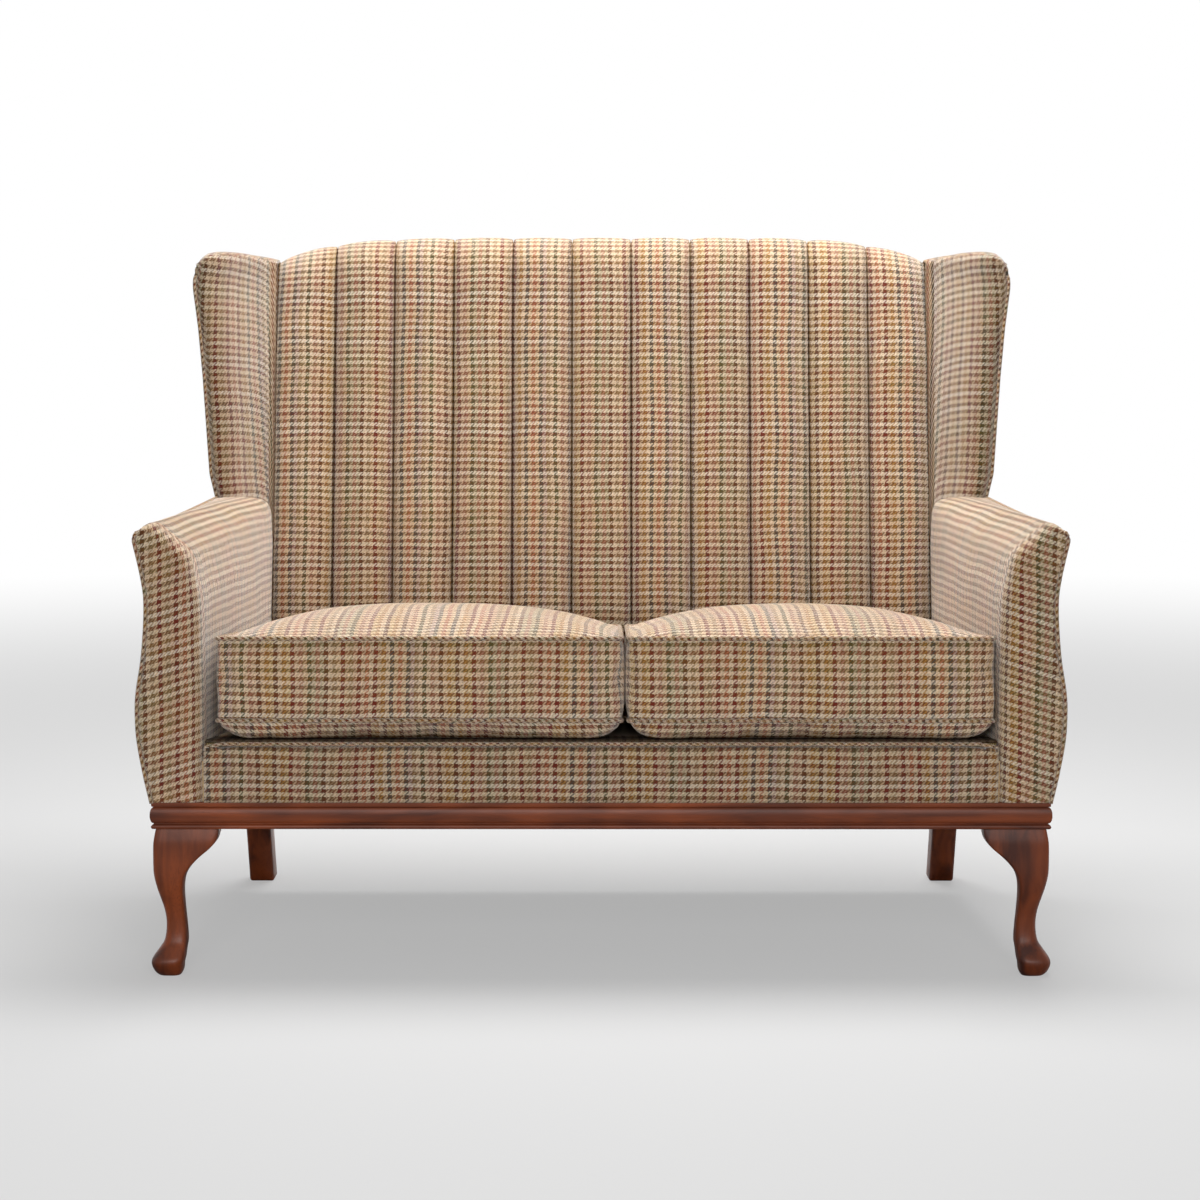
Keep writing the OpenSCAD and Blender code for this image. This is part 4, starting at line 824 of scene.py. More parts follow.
row_slant = 0.3  # the cloth's rows fall outwards by this much of their length
corner_drop = 0.041
for side, name in ((-1, "left"), (1, "right")):
    mesh = bmesh.new()
    laid = cloth_patch(mesh, 24, arm_rows, lambda s, t: arm_front(side, s, t))
    rechart(mesh, faces_at(laid), lambda place, old: (
        place.x - side * (max(place.y + front_face_of_fabric, 0) - 0.003),
        place.z + row_slant * abs(place.x)))
    laid = cloth_patch(mesh, arm_deep, arm_rows, lambda s, t: arm_sleeve(side, s, t), mirror=-side,
                       origin=(side * 0.562, arm_base / 1000 + row_slant * 0.577), anchor=(0, 0))
    rechart(mesh, faces_at(laid), lambda place, old: (
        old.x, old.y + corner_drop * held((place.y + front_face_of_fabric) * 1000 / corner_turn)))
    bmesh.ops.remove_doubles(mesh, verts=mesh.verts, dist=0.00002)
    bmesh.ops.dissolve_degenerate(mesh, edges=mesh.edges, dist=0.00002)
    lay_down(name + "_arm_cover", mesh, [tweed], name + "_inside_arm",
             outside=(0, -0.6, 0.9), thickness=0.004)

# OUTSIDE ARMS. Flat padded panels from the piped front edge to the back posts, stretched over hessian,
# back-tacked under the arm rail and stapled behind the moulding.


def outside_arm_spot(side, s, t):
    height = mix(moulding_top - 1, arm_tip - 2.5, t)
    depth = mix(1.5, settee_deep, s)
    if depth < post_back:
        back = leaned(depth, height)
    else:
        past_post = (depth - post_back) / (settee_deep - post_back)
        back = mix(leaned(post_back, height), rear_face(height) - 2, past_post)
    rim = min(1, 6 * min(s, 1 - s, t + 0.02, 1.02 - t))
    return spot(side * (arm_edge(depth, height) - 2.2 * (1 - rim) ** 2), back, height)


for side, name in ((-1, "left"), (1, "right")):
    mesh = bmesh.new()
    cloth_patch(mesh, 70, 56, lambda s, t: outside_arm_spot(side, s, t), mirror=side, anchor=(0, 0),
                origin=(side * 0.31, 0.05))
    lay_down(name + "_arm_outside_cover", mesh, [tweed], name + "_outside_arm",
             outside=(side * 3, 0, 0.5), thickness=0.005)

# WINGS. Short flared wings stand on the arms. Each is a padded skin that rolls out over a piped front edge,
# closes over the top of the wing rail, and meets a flat outside panel.

wing_head = 1056
wing_front = 537
wing_rear_out = 610
back_low, back_top = 303, 1088
back_tall = back_top - back_low
back_thick = 110
wing_top_line = curve_through([(0, 1033), (0.05, 1043), (0.12, 1051), (0.25, 1057), (0.45, 1059.5),
                               (0.7, 1058), (0.88, 1053), (1, 1047)], 4)
flare_line = [(0, 0.09), (0.1, 0.31), (0.3, 0.45), (0.5, 0.59), (0.7, 0.77), (1, 1.14)]
wing_roll_line = [(0, 0), (0.04, 0.6), (0.14, 0.95), (0.28, 1), (0.48, 0.75), (0.72, 0.35), (1, 0)]
# the inside back's face and then its roll over the top rail, as shares of its height and thickness
pad_face = [(0, 0.74), (0.06, 0.79), (0.13, 0.93), (0.18, 0.99), (0.25, 0.985), (0.4, 0.85), (0.65, 0.64),
            (0.86, 0.47), (0.945, 0.39)]
pad_roll = [(0.975, 0.29), (0.993, 0.15), (1, 0), (0.993, -0.18), (0.98, -0.3), (0.97, -0.38), (0.963, -0.42)]


def back_half(height):
    """Half the width of the inside back, between the wings."""
    return mix(1072, 1092, (height - deck_height) / (back_top - deck_height)) / 2


def back_front(height):
    return rear_face(height) - 45 - back_thick * read_off(pad_face, (height - back_low) / back_tall)


def wing_edge(height):
    """The wing's piped front edge: it flares outwards, and its upper corner is cut back."""
    share = held((height - arm_top) / (wing_head - arm_top))
    cut = 8 * held((height - 996) / 40) ** 2
    return arm_edge(wing_front, arm_tip) + 45 * read_off(flare_line, share) - cut, mix(wing_front, 603, share)


def wing_line(height):
    """The wing's inner face in plan, from its piped edge to the back, swelling forwards by its padding."""
    edge = wing_edge(height)
    inner = (back_half(height) - 2.4, back_front(min(height, 1029)) + 14)
    padding = 20 / math.dist(edge, inner)
    out_x = (edge[1] - inner[1]) * padding
    out_y = (inner[0] - edge[0]) * padding
    points = [(mix(edge[0], inner[0], along) + out_x * proud, mix(edge[1], inner[1], along) + out_y * proud)
              for along, proud in wing_roll_line]
    return curve_through(points, 4)


def wing_outside(height, share):
    """The far side of the wing's top: along the outside panel, then along the back."""
    edge, rear = wing_edge(height), rear_face(height)
    if share < 0.8:
        return mix(edge[0], wing_rear_out, share / 0.8), mix(edge[1], rear, share / 0.8)
    return mix(wing_rear_out, 547, (share - 0.8) / 0.2), rear


def arm_surface(x, depth):
    """How high the top of the arm is, so far out and so far back."""
    line = arm_line(depth)
    outer = [point for point in line if point[0] >= x]
    return outer[-1][1] if outer else line[0][1]


wing_columns = 24
wing_rows = 72
wing_roll = 13


def wing_spot(side, s, t):
    """Up the wing's inner face, and from 0.6 of the rows on over its rounded top to the far side."""
    i = round(s * wing_columns)
    height = read_off(wing_top_line, s) - wing_roll
    if t <= 0.6:
        foot_x, foot_back = wing_line(arm_top)[i]
        foot = arm_surface(min(max(foot_x, 540), 624), min(foot_back, sleeve_end)) - mix(1, 16, min(s * 8, 1))
        height = mix(foot, height, t / 0.6)
        x, back = wing_line(height)[i]
        return spot(side * x, back, height)
    near, far = wing_line(height)[i], wing_outside(height, s)
    wide = math.dist(near, far)
    roll = min(wing_roll, 0.49 * wide)
    over = (t - 0.6) / 0.4
    if over < 0.3:
        turn = math.radians(90 * over / 0.3)
        inwards, up = roll * (1 - math.cos(turn)), wing_roll * math.sin(turn)
    elif over < 0.7:
        k = (over - 0.3) / 0.4
        inwards, up = mix(roll, wide - roll, k), wing_roll + 3 * math.sin(math.pi * k) * min(1, wide / 60)
    else:
        turn = math.radians(90 * (over - 0.7) / 0.3)
        inwards, up = wide - roll + roll * math.sin(turn), wing_roll * math.cos(turn)
    k = inwards / wide if wide else 0
    return spot(side * mix(near[0], far[0], k), mix(near[1], far[1], k), height + up)


def outside_wing_spot(side, s, t):
    height = mix(arm_tip - 14, read_off(wing_top_line, s) - 12, t)
    x, back = wing_outside(height, s)
    return spot(side * x, back + (0.6 if s > 0.8 else 0), height)


def paint_shade_and_light(mesh, hollow):
    """Stores painted shade for the tweed at each point, as the hollow attribute; below 0 it paints light."""
    depth = mesh.verts.layers.float.new("hollow")
    for vert in mesh.verts:
        vert[depth] = hollow(vert.co)


def second_cloth(mesh, lies):
    """Gives the faces that lie so the piece's second material."""
    for face in mesh.faces:
        face.material_index = int(lies(face))


def wing_junction(face):
    """Where the wing meets the back, the gap gets the tweed's shaded copy without sheen: painted shade."""
    where = face.calc_center_median()
    return abs(where.x) - back_half(where.z * 1000) / 1000 < 0.007 and face.normal.z < 0.5


for side, name in ((-1, "left"), (1, "right")):
    mesh = bmesh.new()
    cloth_patch(mesh, wing_columns, wing_rows, lambda s, t: wing_spot(side, s, t), mirror=-side,
                anchor=(1, 0), origin=(side * 0.23, 0.02))
    bmesh.ops.remove_doubles(mesh, verts=mesh.verts, dist=0.00005)
    mesh.normal_update()
    rechart(mesh, [face for face in mesh.faces if abs(face.normal.z) > 0.75], lambda place, old: place.xy)
    # Painted shade: the whole inner wing cover is darkened by 0.3.
    paint_shade_and_light(mesh, lambda place: 0.3)
    second_cloth(mesh, wing_junction)
    lay_down(name + "_wing_cover", mesh, [tweed, tweed_shaded_copy], name + "_inside_wing",
             outside=(0, -1.5, 1.6), thickness=0.004)
    mesh = bmesh.new()
    cloth_patch(mesh, 40, 40, lambda s, t: outside_wing_spot(side, s, t), mirror=side, anchor=(0, 0),
                origin=(side * 0.13, 0.45))
    lay_down(name + "_wing_outside_cover", mesh, [tweed], name + "_outside_wing",
             outside=(side * 3, 0.5, 0.8), thickness=0.004)

# FLUTED INSIDE BACK. Eleven upright channels, each stuffed with wadding and sewn down through the hessian
# along its seams, thick at the small of the back and rolled over the top rail.

flutes = 11
flute_steps = 22
flute_cloth = 0.1275  # metres of cloth that go into a flute
back_rows = 150
turn_in = 3
pad_steps = 12
pad_curve = curve_through(pad_face + pad_roll, pad_steps)
pad_run = [0]
for a, b in zip(pad_curve, pad_curve[1:]):
    pad_run.append(pad_run[-1] + math.hypot((b[0] - a[0]) * back_tall, (b[1] - a[1]) * back_thick))
# how much of their depth the valleys keep at each point of the pad's line
valley_line = [(7, 1), (8, 0.8), (9, 0.55), (10, 0.4), (11, 0.3), (12, 0.25), (13, 0.15)]


def flute_dip(share):
    """Depth of the cloth below the crown of its flute: a half-round, with the seam deep in a closed slot."""
    off = abs(2 * share - 1)
    return 1.25 if off > 0.98 else 0.62 * (1 - math.sqrt(1 - (off / 0.985) ** 2.4))


def back_spot(s, t):
    run = t * pad_run[-1]
    k = next((n for n in range(1, len(pad_run)) if pad_run[n] >= run - 1e-9), len(pad_run) - 1)
    part = (run - pad_run[k - 1]) / max(pad_run[k] - pad_run[k - 1], 1e-9)
    up_share, thick_share = (mix(pad_curve[k - 1][n], pad_curve[k][n], part) for n in (0, 1))
    rise = (pad_curve[k][0] - pad_curve[k - 1][0]) * back_tall
    swell = (pad_curve[k][1] - pad_curve[k - 1][1]) * back_thick
    long = math.hypot(rise, swell) or 1
    out, up = rise / long, -swell / long
    across = min(max(s, -1), 1)
    flute = (across + 1) / 2 * flutes
    share = flute % 1 if abs(flute - round(flute)) > 1e-6 else 0
    valley = 24 * read_off(valley_line, (k - 1 + part) / pad_steps)
    dip = valley * (flute_dip(share) if abs(across) < 1 else 0.55)
    wave = (noise.noise(Vector((flute * 2.1, up_share * 30, 3.7))) * 0.8
            + noise.noise(Vector((flute * 6, up_share * 90, 9))) * 0.35)
    fall = 40 * abs(across) ** 6 * held((up_share - 0.75) / 0.2)
    level = back_low + back_tall * up_share
    height = level + up * (wave * 0.6 - dip) - fall
    back = rear_face(level) - 45 - back_thick * thick_share - out * (wave - dip)
    beside = abs(s) - 1
    if beside > 0:
        back = min(back + beside * 1000, rear_face(height) - 1)
    return spot(across * back_half(height), back, height)


def flute_chart(column):
    """Each flute's cloth is measured from the middle of that flute."""
    k = min(max((column - turn_in) // flute_steps, 0), flutes - 1)
    return turn_in + k * flute_steps + flute_steps // 2, k * flute_cloth


def seam_drag(column):
    return 0.0035 * abs(2 * ((column + 1) / 2 * flutes % 1) - 1) ** 3


def off_crown(where):
    """How far a place on the back is from its flute's crown: 0 on it and 1 at a seam."""
    share = (where.x * 1000 / (2 * back_half(where.z * 1000)) + 0.5) * flutes % 1
    return abs(2 * share - 1)


def back_painted_shade(where):
    """Painted shade: a little all over, more towards the seams, most in them, and down behind the cushions.
    """
    off = off_crown(where)
    seam = 0.3 * max(0, (off - 0.5) / 0.5) ** 2 + (0.35 if off > 0.98 else 0)
    return min(0.6, 0.04 + seam + 0.22 * held((0.66 - where.z) / 0.16))


columns = [-1.028, -1.016, -1.007]
for k in range(flutes):
    columns.append(2 * k / flutes - 1)
    for m in range(flute_steps - 1):
        share = m / (flute_steps - 2)
        share = mix(share, 0.5 - 0.5 * math.cos(math.pi * share), 0.85)
        columns.append(2 * (k + mix(0.013, 0.987, share)) / flutes - 1)
columns += [1, 1.007, 1.016, 1.028]
mesh = bmesh.new()
cloth_patch(mesh, len(columns) - 1, back_rows, back_spot, origin=(0.004, 0.0), tuck=flute_chart,
            drag=seam_drag, columns=columns)
paint_shade_and_light(mesh, back_painted_shade)
# The faces in the seams get the tweed's shaded copy without sheen: painted shade.
second_cloth(mesh, lambda face: off_crown(face.calc_center_median()) > 0.94)
lay_down("fluted_back_cover", mesh, [tweed, tweed_shaded_copy], "inside_back",
         outside=(0, -3, 1.2), thickness=0.003)

# OUTSIDE BACK. One flat padded panel of tweed over the back of the frame, slip-stitched down both sides and
# across the top, and tacked under the rear rail.


def outside_back_spot(s, t):
    x = mix(-610, 610, s)
    wings_start = 546
    if abs(x) < wings_start:
        top = 1061 - 40 * (abs(x) / wings_start) ** 6
    else:
        top = 1021 - 0.55 * (abs(x) - wings_start)
    height = mix(leg_height + 1, top, t)
    rim = min(1, 16 * min(s, 1 - s, t, 1 - t))
    return spot(x, rear_face(height) + 9 + 3 * rim ** 0.6, height)


mesh = bmesh.new()
cloth_patch(mesh, 90, 70, outside_back_spot, mirror=-1)
lay_down("outside_back_cover", mesh, [tweed], "outside_back", outside=(0, 3, 1), thickness=0.008)

# FRONT BORDER. A lightly stuffed band across the front between the arms, under the cushions' edge. Its cloth
# turns in under the piping at the top and behind the moulding at the foot.

border_top = 337.5
border_half = 576.5


def border_spot(s, t):
    x = mix(-border_half, border_half, s)
    end = min(1, 24 * min(s, 1 - s))
    flat_share = 0.82
    if t < flat_share:
        k = t / flat_share
        proud = 3.4 * math.sin(math.pi * (0.08 + 0.84 * k)) * (0.5 + 0.5 * end)
        return spot(x, 1.5 - proud, mix(arm_base, border_top, k))
    turn = math.radians(90 * (t - flat_share) / (1 - flat_share))
    return spot(x, 0.5 + 9 * (1 - math.cos(turn)), border_top + 2.3 * math.sin(turn) - 4 * (1 - end))


def border_painted_shade(where):
    """Painted shade: a little all over, more under the piping and just over the moulding."""
    return 0.13 + 0.4 * held((where.z - 0.3335) / 0.005) + 0.25 * max(0, 1 - abs(where.z - 0.257) / 0.006)


mesh = bmesh.new()
cloth_patch(mesh, 140, 26, border_spot, origin=(0.003, 0.0))
paint_shade_and_light(mesh, border_painted_shade)
lay_down("front_border_cover", mesh, [tweed], "front_border",
         outside=towards_sitter, thickness=0.003)

# PIPING. Tweed cut on the bias round a cotton cord, sewn in along the border's top, the arms' front edges,
# the arms' outer top edges and the wings' edges.


def cord_along(mesh, line, radius, closed=False, sides=8):
    """A round cord along a line of points, with the cloth's map running along and round it."""
    count = len(line)
    across = []
    for n in range(count):
        before = line[(n - 1) % count] if closed or n else line[n]
        after = line[(n + 1) % count] if closed or n < count - 1 else line[n]
        heading = (after - before).normalized()
        level = heading.cross(Vector((0, 0, 1)))
        if level.length < 0.3:
            level = heading.cross(Vector((0, -1, 0)))
        level.normalize()
        across.append((level, level.cross(heading)))
    stretches = count if closed else count - 1

    def round_cord(s, t):
        n = round(s * stretches) % count
        level, over = across[n]
        turn = 2 * math.pi * t
        return line[n] + radius * (level * math.cos(turn) + over * math.sin(turn))
    laid = cloth_patch(mesh, stretches, sides, round_cord, anchor=(0, 0))
    bmesh.ops.remove_doubles(mesh, verts=laid, dist=0.00001)
    if not closed:
        rims = [edge for edge in mesh.edges if edge.is_boundary]
        bmesh.ops.holes_fill(mesh, edges=rims, sides=sides + 1)


fixed_cord = 0.003
mesh = bmesh.new()
border_cord = []
for k in range(181):
    share = k / 180
    drop = 5 * max(0, abs(2 * share - 1) - 0.955) / 0.045
    border_cord.append(spot(mix(-575.5, 575.5, share), 3.2, 342.6 - drop))
cord_along(mesh, border_cord, fixed_cord)
for side in (-1, 1):
    heights = [mix(moulding_top - 1, arm_tip, k / 90) for k in range(91)]
    arm_cord = [spot(side * arm_edge(0, height), 0, height) for height in heights]
    for k in range(81):
        depth = mix(6, 528, k / 80)
        arm_cord.append(spot(side * arm_edge(depth, arm_tip), leaned(depth, arm_tip), arm_line(depth)[0][1]))
    cord_along(mesh, arm_cord, fixed_cord)
    wing_cord = []
    for k in range(71):
        height = mix(664, 1017, k / 70)
        x, back = wing_edge(height)
        wing_cord.append(spot(side * x, back, height))
    for k in range(1, 60):
        share = 0.8 * k / 60
        height = read_off(wing_top_line, share) - 13
        x, back = wing_outside(height, share)
        wing_cord.append(spot(side * x, back, height + 2.5 * min(1, 8 * share)))
    cord_along(mesh, wing_cord, fixed_cord)
lay_down("fixed_piping", mesh, [tweed_bias], "trim_piping")

# SEAT DECK. A hessian edge roll along the front, a felt pad on the hessian, and over them the deck cloth:
# tweed for the hand's width that can show, sewn to plain platform cloth behind it.

felt = speckled("cotton_felt", 240, 6, [(0.35, "#9A958A"), (0.65, "#D6D1C4")], relief=0.002,
                Roughness=1.0, Specular_IOR_Level=0.05)
platform_cloth = coarse_cloth("platform_cloth", 0.0007, "#A98F6C", "#7B6448")


def padding_spot(s, t, front, back):
    """The top of a padded layer of the seat, which thins out towards its edges."""
    depth = mix(front, back, t)
    from_edge = min(1, 8 * min((depth - front) / 120, (back - depth) / 120, s * 4, (1 - s) * 4))
    up = -2.4 - 3.0 * (1 - from_edge) ** 2 + 0.3 * noise.noise(Vector((s * 40, t * 20, 1)))
    return pitched(mix(-1, 1, s) * (arm_inside(depth) - 1.4), depth, up)


for name, node, front, back, rows, material in (
    ("front_edge_roll", "edge_roll", 13, 46, 12, hessian),
    ("seat_felt_pad", "platform_pad", 46.5, 507.5, 40, felt),
):
    mesh = bmesh.new()
    cloth_patch(mesh, 90, rows, lambda s, t: padding_spot(s, t, front, back))
    piece = lay_down(name, mesh, [material], node, outside=straight_up, thickness=0.0185)

deck_rows = 56
deck_seam_row = 11


def deck_spot(s, t):
    """The deck cloth turns down at its front and is drawn in along its seam."""
    depth = mix(8, 508, t)
    seam = 0.8 if abs(t - deck_seam_row / deck_rows) < 0.001 else 0
    up = -0.4 - 2.5 * max(0, 1 - t * 40) ** 2 + 0.25 * noise.noise(Vector((s * 30, t * 16, 5))) - seam
    return pitched(mix(-1, 1, s) * (arm_inside(depth) - 1.1), depth, up)


mesh = bmesh.new()
cloth_patch(mesh, 100, deck_rows, deck_spot)
# Painted shade under the cushions: the deck's front strip is the tweed's shaded copy, darkened strongly at
# its front and less behind.
second_cloth(mesh, lambda face: face.calc_center_median().y >= pitched(0, 106, 0).y)
paint_shade_and_light(mesh, lambda place: 0.8 if place.y < -0.33 else 0.3)
piece = lay_down("deck_cover", mesh, [tweed_shaded_copy, platform_cloth], "deck_cloth",
                 outside=straight_up, thickness=0.0012)

# SEAT CUSHIONS. Two loose boxed cushions, filled tight: crowned top and bottom panels sewn to a straight
# boxing, which swells a little. A thicker cord in bias tweed is sewn in between the panels and the boxing all
# the way round.

welts = (28, 147)
welt_low, welt_high = welts
welt_cord = 0.0036
panel_crown = 26
clear_of_deck = 0.6
# how far the stuffing may press the cover out past its drawn shape and its plan, in metres
most_push = 0.018
front_bulge, inner_bulge, outer_bulge = 0.006, 0.0046, 0.003
pressing_steps = 20
panel_cells = 50
box_rows = 10
# how far out each cushion's inner side lies, and its outer side in front and behind
cushions = {"left": (30, -557.5, -530.5), "right": (40, 571, 530.5)}
cell_lines = [mix(k / panel_cells * 2 - 1, math.sin(math.pi * (k / panel_cells - 0.5)), 0.6)
              for k in range(panel_cells + 1)]
welt_round = ([(a, -1) for a in cell_lines[:-1]] + [(1, b) for b in cell_lines[:-1]]
              + [(-a, 1) for a in cell_lines[:-1]] + [(-1, -b) for b in cell_lines[:-1]])
seat_origin = pitched(0, 0, 0)
slope = Matrix.Rotation(-seat_pitch, 3, "X")
slope_back = slope.transposed()


def cushion_plan(sides, a, b):
    """A place on the cushion's plan for shares a across and b back, from -1 to 1, with rounded corners."""
    lap = 0.05
    if abs(a) > 1 - lap and abs(b) > 1 - lap:
        p, q = (abs(a) - 1 + lap) / lap, (abs(b) - 1 + lap) / lap
        p, q = p * math.sqrt(1 - q * q / 2), q * math.sqrt(1 - p * p / 2)
        a, b = math.copysign(1 - lap + p * lap, a), math.copysign(1 - lap + q * lap, b)
    draw = (6 * b * b if b < 0 else 0) * (1 - a * a)
    outer = mix(sides[1], sides[2], (b + 1) / 2)
    return mix(sides[0], outer, (a + 1) / 2), cushion_deep / 2 * (1 + b) + draw


def top_panel(sides, s, t):
    """The top panel's crown is full in the middle and steep at the seams."""
    a, b = (cell_lines[round(k * panel_cells)] for k in (s, t))
    return *cushion_plan(sides, a, b), welt_high + panel_crown * (1 - abs(a) ** 3.2) * (1 - abs(b) ** 3)


def bottom_panel(sides, s, t):
    """The bottom panel turns under in a short round bend at each side."""
    a, b = (cell_lines[round(k * panel_cells)] for k in (s, t))
    x, y = cushion_plan(sides, a, b)
    bend = (math.sqrt(1 - max(0, (abs(a) - 0.76) / 0.24) ** 2)
            * math.sqrt(1 - max(0, (abs(b) - 0.9) / 0.1) ** 2))
    z = max(clear_of_deck, welt_low * (1 - bend))
    if b < -0.85:
        y -= 4 * math.sin(math.pi * min(z / welt_low, 1)) * (1 - a * a)
    return x, y, z


def boxing_spot(sides, s, t):
    """The boxing goes straight down all the way round the cushion."""
    a, b = welt_round[round(s * len(welt_round)) % len(welt_round)]
    return *cushion_plan(sides, a, b), mix(welt_high, welt_low, t)


def lies_across(face):
    """Whether a face of the boxing is in front or behind, and not at a side."""
    back = face.calc_center_median().y
    return abs(back) < 8 or abs(back - cushion_deep) < 3


def cushion_painted_shade_and_light(place):
    """Painted shade beside the welts and underneath, and painted light over the whole boxing and top."""
    near = 99
    if welt_low < place.z < welt_high:
        near = min(abs(place.z - welt_high + 4), abs(place.z - welt_low - 4))
    return 0.4 * max(0, 1 - near / 9) + (0.5 if place.z < 3 else 0) - (0.12 if place.z > welt_low else 0)


def set_on_seat(mesh):
    """Tips a piece drawn level and in millimetres onto the pitch of the seat."""
    for vert in mesh.verts:
        vert.co = pitched(*vert.co)


def blown_up(cover, start):
    """Where a short cloth simulation takes the cover when its stuffing presses out, welts held."""
    sewn = cover.vertex_groups.new(name="sewn")
    level = [(slope_back @ (place - seat_origin)).z * 1000 for place in start]
    sewn.add([n for n, z in enumerate(level) if any(abs(z - welt) < 0.05 for welt in welts)], 1.0, "REPLACE")
    cloth = cover.modifiers.new("stuffing", "CLOTH").settings
    for setting, value in dict(
        quality=5, mass=0.4, tension_stiffness=25, compression_stiffness=25, shear_stiffness=12,
        bending_stiffness=1.2, use_pressure=True, uniform_pressure_force=5, shrink_min=-0.012,
        vertex_group_mass="sewn", pin_stiffness=1,
    ).items():
        setattr(cloth, setting, value)
    cloth.effector_weights.gravity = 0
    for n in range(pressing_steps):
        scene.frame_set(n + 1)
    ready = cover.evaluated_get(bpy.context.evaluated_depsgraph_get())
    moved = [vert.co.copy() for vert in ready.data.vertices]
    scene.frame_set(1)
    cover.modifiers.clear()
    return moved


for number, (name, sides) in enumerate(cushions.items()):
    mesh = bmesh.new()
    shift = number * 0.007
    sign = math.copysign(1, sides[1])
    centre = (sides[0] + (sides[1] + sides[2]) / 2) / 2 / 1000
    upper = cloth_patch(mesh, panel_cells, panel_cells, lambda s, t: top_panel(sides, s, t), mirror=0.001)
    lower = cloth_patch(mesh, panel_cells, panel_cells, lambda s, t: bottom_panel(sides, s, t), mirror=0.001)
    rechart(mesh, faces_at(upper), lambda place, old: (old.x + centre + shift, old.y * 0.001 + 0.150))
    rechart(mesh, faces_at(lower), lambda place, old: (old.x + centre + shift, old.y * -0.001 + 0.031))
    boxing = faces_at(cloth_patch(mesh, len(welt_round), box_rows, lambda s, t: boxing_spot(sides, s, t)))
    ends = {face for face in boxing if lies_across(face)}
    rechart(mesh, ends, lambda place, old: (place.x / 1000 + shift, place.z / 1000 + 0.003))
    rechart(mesh, boxing - ends, lambda place, old: (
        (sides[1] + sign * place.y) / 1000, place.z / 1000 + 0.003))
    bmesh.ops.remove_doubles(mesh, verts=mesh.verts, dist=0.01)
    paint_shade_and_light(mesh, cushion_painted_shade_and_light)
    set_on_seat(mesh)
    # The underside gets the tweed's shaded copy without sheen: painted shade.
    second_cloth(mesh, lambda face: (slope_back @ (face.calc_center_median() - seat_origin)).z < 0.006)
    cover = lay_down(name + "_cushion_cover", mesh, [tweed, tweed_shaded_copy], name + "_seat_cushion",
                     body=name + "_cushion")
    start = [vert.co.copy() for vert in cover.data.vertices]
    moved = blown_up(cover, start)
    for vert, before, after in zip(cover.data.vertices, start, moved):
        push = after - before
        vert.co = before + push * min(1, most_push / max(push.length, 1e-9))
    for vert in cover.data.vertices:
        place = slope_back @ (vert.co - seat_origin)
        inner = sign * sides[0] / 1000 - inner_bulge
        outer = sign * mix(sides[1], sides[2], held(place.y * 1000 / cushion_deep)) / 1000 + outer_bulge
        place.x = sign * min(max(sign * place.x, inner), outer)
        place.y = min(max(place.y, -front_bulge), cushion_deep / 1000 - 0.0002)
        place.z = max(place.z, clear_of_deck / 1000)
        vert.co = slope @ place + seat_origin
    soft = cover.modifiers.new("softening", "SUBSURF")
    soft.levels = soft.render_levels = 1

    mesh = bmesh.new()
    for height in welts:
        ring = []
        for a, b in welt_round:
            waver = 0.7 * noise.noise(Vector((a * 9, b * 9, height)))
            ring.append(pitched(*cushion_plan(sides, a, b), height + waver))
        cord_along(mesh, ring, welt_cord, closed=True)
    lay_down(name + "_cushion_welts", mesh, [tweed_bias], name + "_cushion_piping",
             body=name + "_cushion")

# ZIPS. A brown woven tape with a nylon coil and brass end stops, sewn into the rear boxing of each cushion.
# A brass slider with its pull runs along it.

tape_cloth = coarse_cloth("zip_tape", 0.0006, "#7A6350", "#4E3D31")
nylon = speckled("nylon_coil", 900, 2, [(0.3, "#4A382C"), (0.7, "#6A5444")], Roughness=0.45)
brass = speckled("slider_brass", 500, 4, [(0.3, "#8F6A34"), (0.7, "#C79E5C")], gloss=(0.22, 0.45),
                 Metallic=1.0)
zip_half = 215
zip_height = 87.5
zip_teeth = 142
tooth_pitch = 3
tooth_wide = 1.3
stop_wide = 2


def block(mesh, low, high, softened, material=0, segments=2):
    """A small softened block between two corners, level and in millimetres."""
    made = bmesh.ops.create_cube(mesh, size=1)["verts"]
    for vert in made:
        vert.co = Vector(mix(a, b, c + 0.5) for a, b, c in zip(low, high, vert.co))
    edges = {edge for vert in made for edge in vert.link_edges}
    cut = bmesh.ops.bevel(mesh, geom=list(edges), offset=softened, segments=segments, affect="EDGES",
                          profile=0.5, material=-1)
    for face in faces_at(cut["verts"]) | faces_at(vert for vert in made if vert.is_valid):
        face.material_index = material


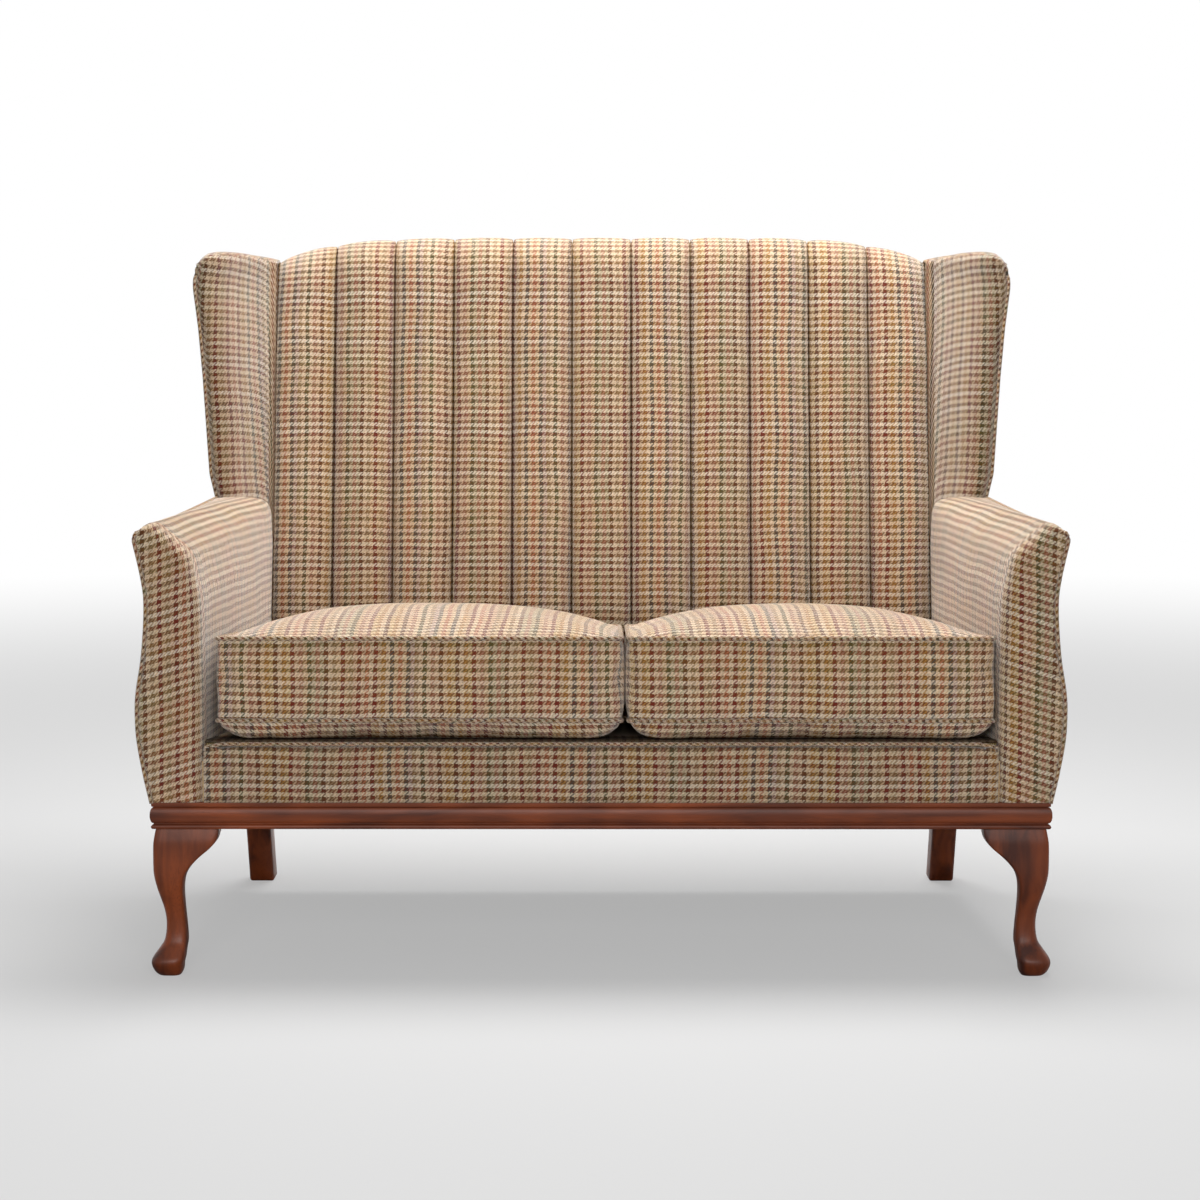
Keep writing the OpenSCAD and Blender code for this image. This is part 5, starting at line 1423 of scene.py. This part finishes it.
# the slider's wedge, its crown, its lug, and the pull's neck and tab: half the width, the depth from and to,
# the height from and to, and how far the edges are softened
slider_blocks = ((5.6, 0, 0.9, 83.4, 91.6, 0.4), (3.4, 0.9, 1.7, 85.4, 89.6, 0.35),
                 (1.4, 1.7, 2.4, 86.2, 88.8, 0.3), (2.2, 0.95, 1.75, 76.2, 85.2, 0.35),
                 (3.0, 0.9, 1.9, 71.2, 77.4, 0.45))
for name, sides in cushions.items():
    middle = (sides[0] + sides[2]) / 2
    mesh = bmesh.new()
    for low, high in ((76, 87.1), (87.9, 99)):

        def tape_spot(s, t):
            z = mix(low, high, t)
            wave = 0.25 * math.sin(s * 70) * (0.2 + abs(z - zip_height) / 12)
            return middle + mix(-zip_half, zip_half, s), cushion_deep + 0.55 + wave, z
        cloth_patch(mesh, 86, 4, tape_spot)
    bmesh.ops.solidify(mesh, geom=list(mesh.faces), thickness=-0.45)
    for k in range(zip_teeth):
        x = middle - zip_half + stop_wide + tooth_pitch * k
        block(mesh, (x, cushion_deep + 0.15, 85.6), (x + tooth_wide, cushion_deep + 1.0, 89.4), 0.25,
              material=1, segments=1)
    for x in (middle - zip_half, middle + zip_half - stop_wide):
        block(mesh, (x, cushion_deep + 0.1, 84.5), (x + stop_wide, cushion_deep + 1.0, 90.5), 0.25,
              material=2, segments=1)
    set_on_seat(mesh)
    rechart(mesh, mesh.faces, lambda place, old: (place.x, place.z))
    lay_down(name + "_zip_tape", mesh, [tape_cloth, nylon, brass], name + "_cushion_zip",
             body=name + "_cushion", keen=35)
    mesh = bmesh.new()
    start = middle - math.copysign(209, middle)
    back = cushion_deep + 1.3
    for half, near, far, low, high, softened in slider_blocks:
        block(mesh, (start - half, back + near, low), (start + half, back + far, high), softened)
    set_on_seat(mesh)
    lay_down(name + "_slider", mesh, [brass], name + "_zip_slider",
             body=name + "_slider", keen=35)

# DUST COVER. Thin black cloth that keeps the stuffing's dust in. It is stapled under the rails, and cut away
# round the legs.

dust_black = coarse_cloth("dust_cloth", 0.0008, "#3A3833", "#1E1D1A")


def dust_spot(s, t):
    depth = mix(17, 633, t)
    sag = 1.5 * math.sin(math.pi * s) * math.sin(math.pi * t) - 0.4 * noise.noise(Vector((s * 14, t * 8, 2)))
    return spot(mix(-1, 1, s) * (half_width(depth) - 21), depth, leg_height - 0.6 - sag)


def at_leg(face):
    where = face.calc_center_median()
    back = where.y + front_face_of_fabric
    return abs(where.x) > 0.545 and (back < 0.11 or back > 0.58)


mesh = bmesh.new()
cloth_patch(mesh, 96, 48, dust_spot)
bmesh.ops.delete(mesh, geom=[face for face in mesh.faces if at_leg(face)], context="FACES")
piece = lay_down("dust_sheet", mesh, [dust_black], "dust_cover",
                 outside=(0, 0, -2), thickness=0.0006)

size = {"cad": cad_box, "visual": [list(corner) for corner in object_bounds()]}
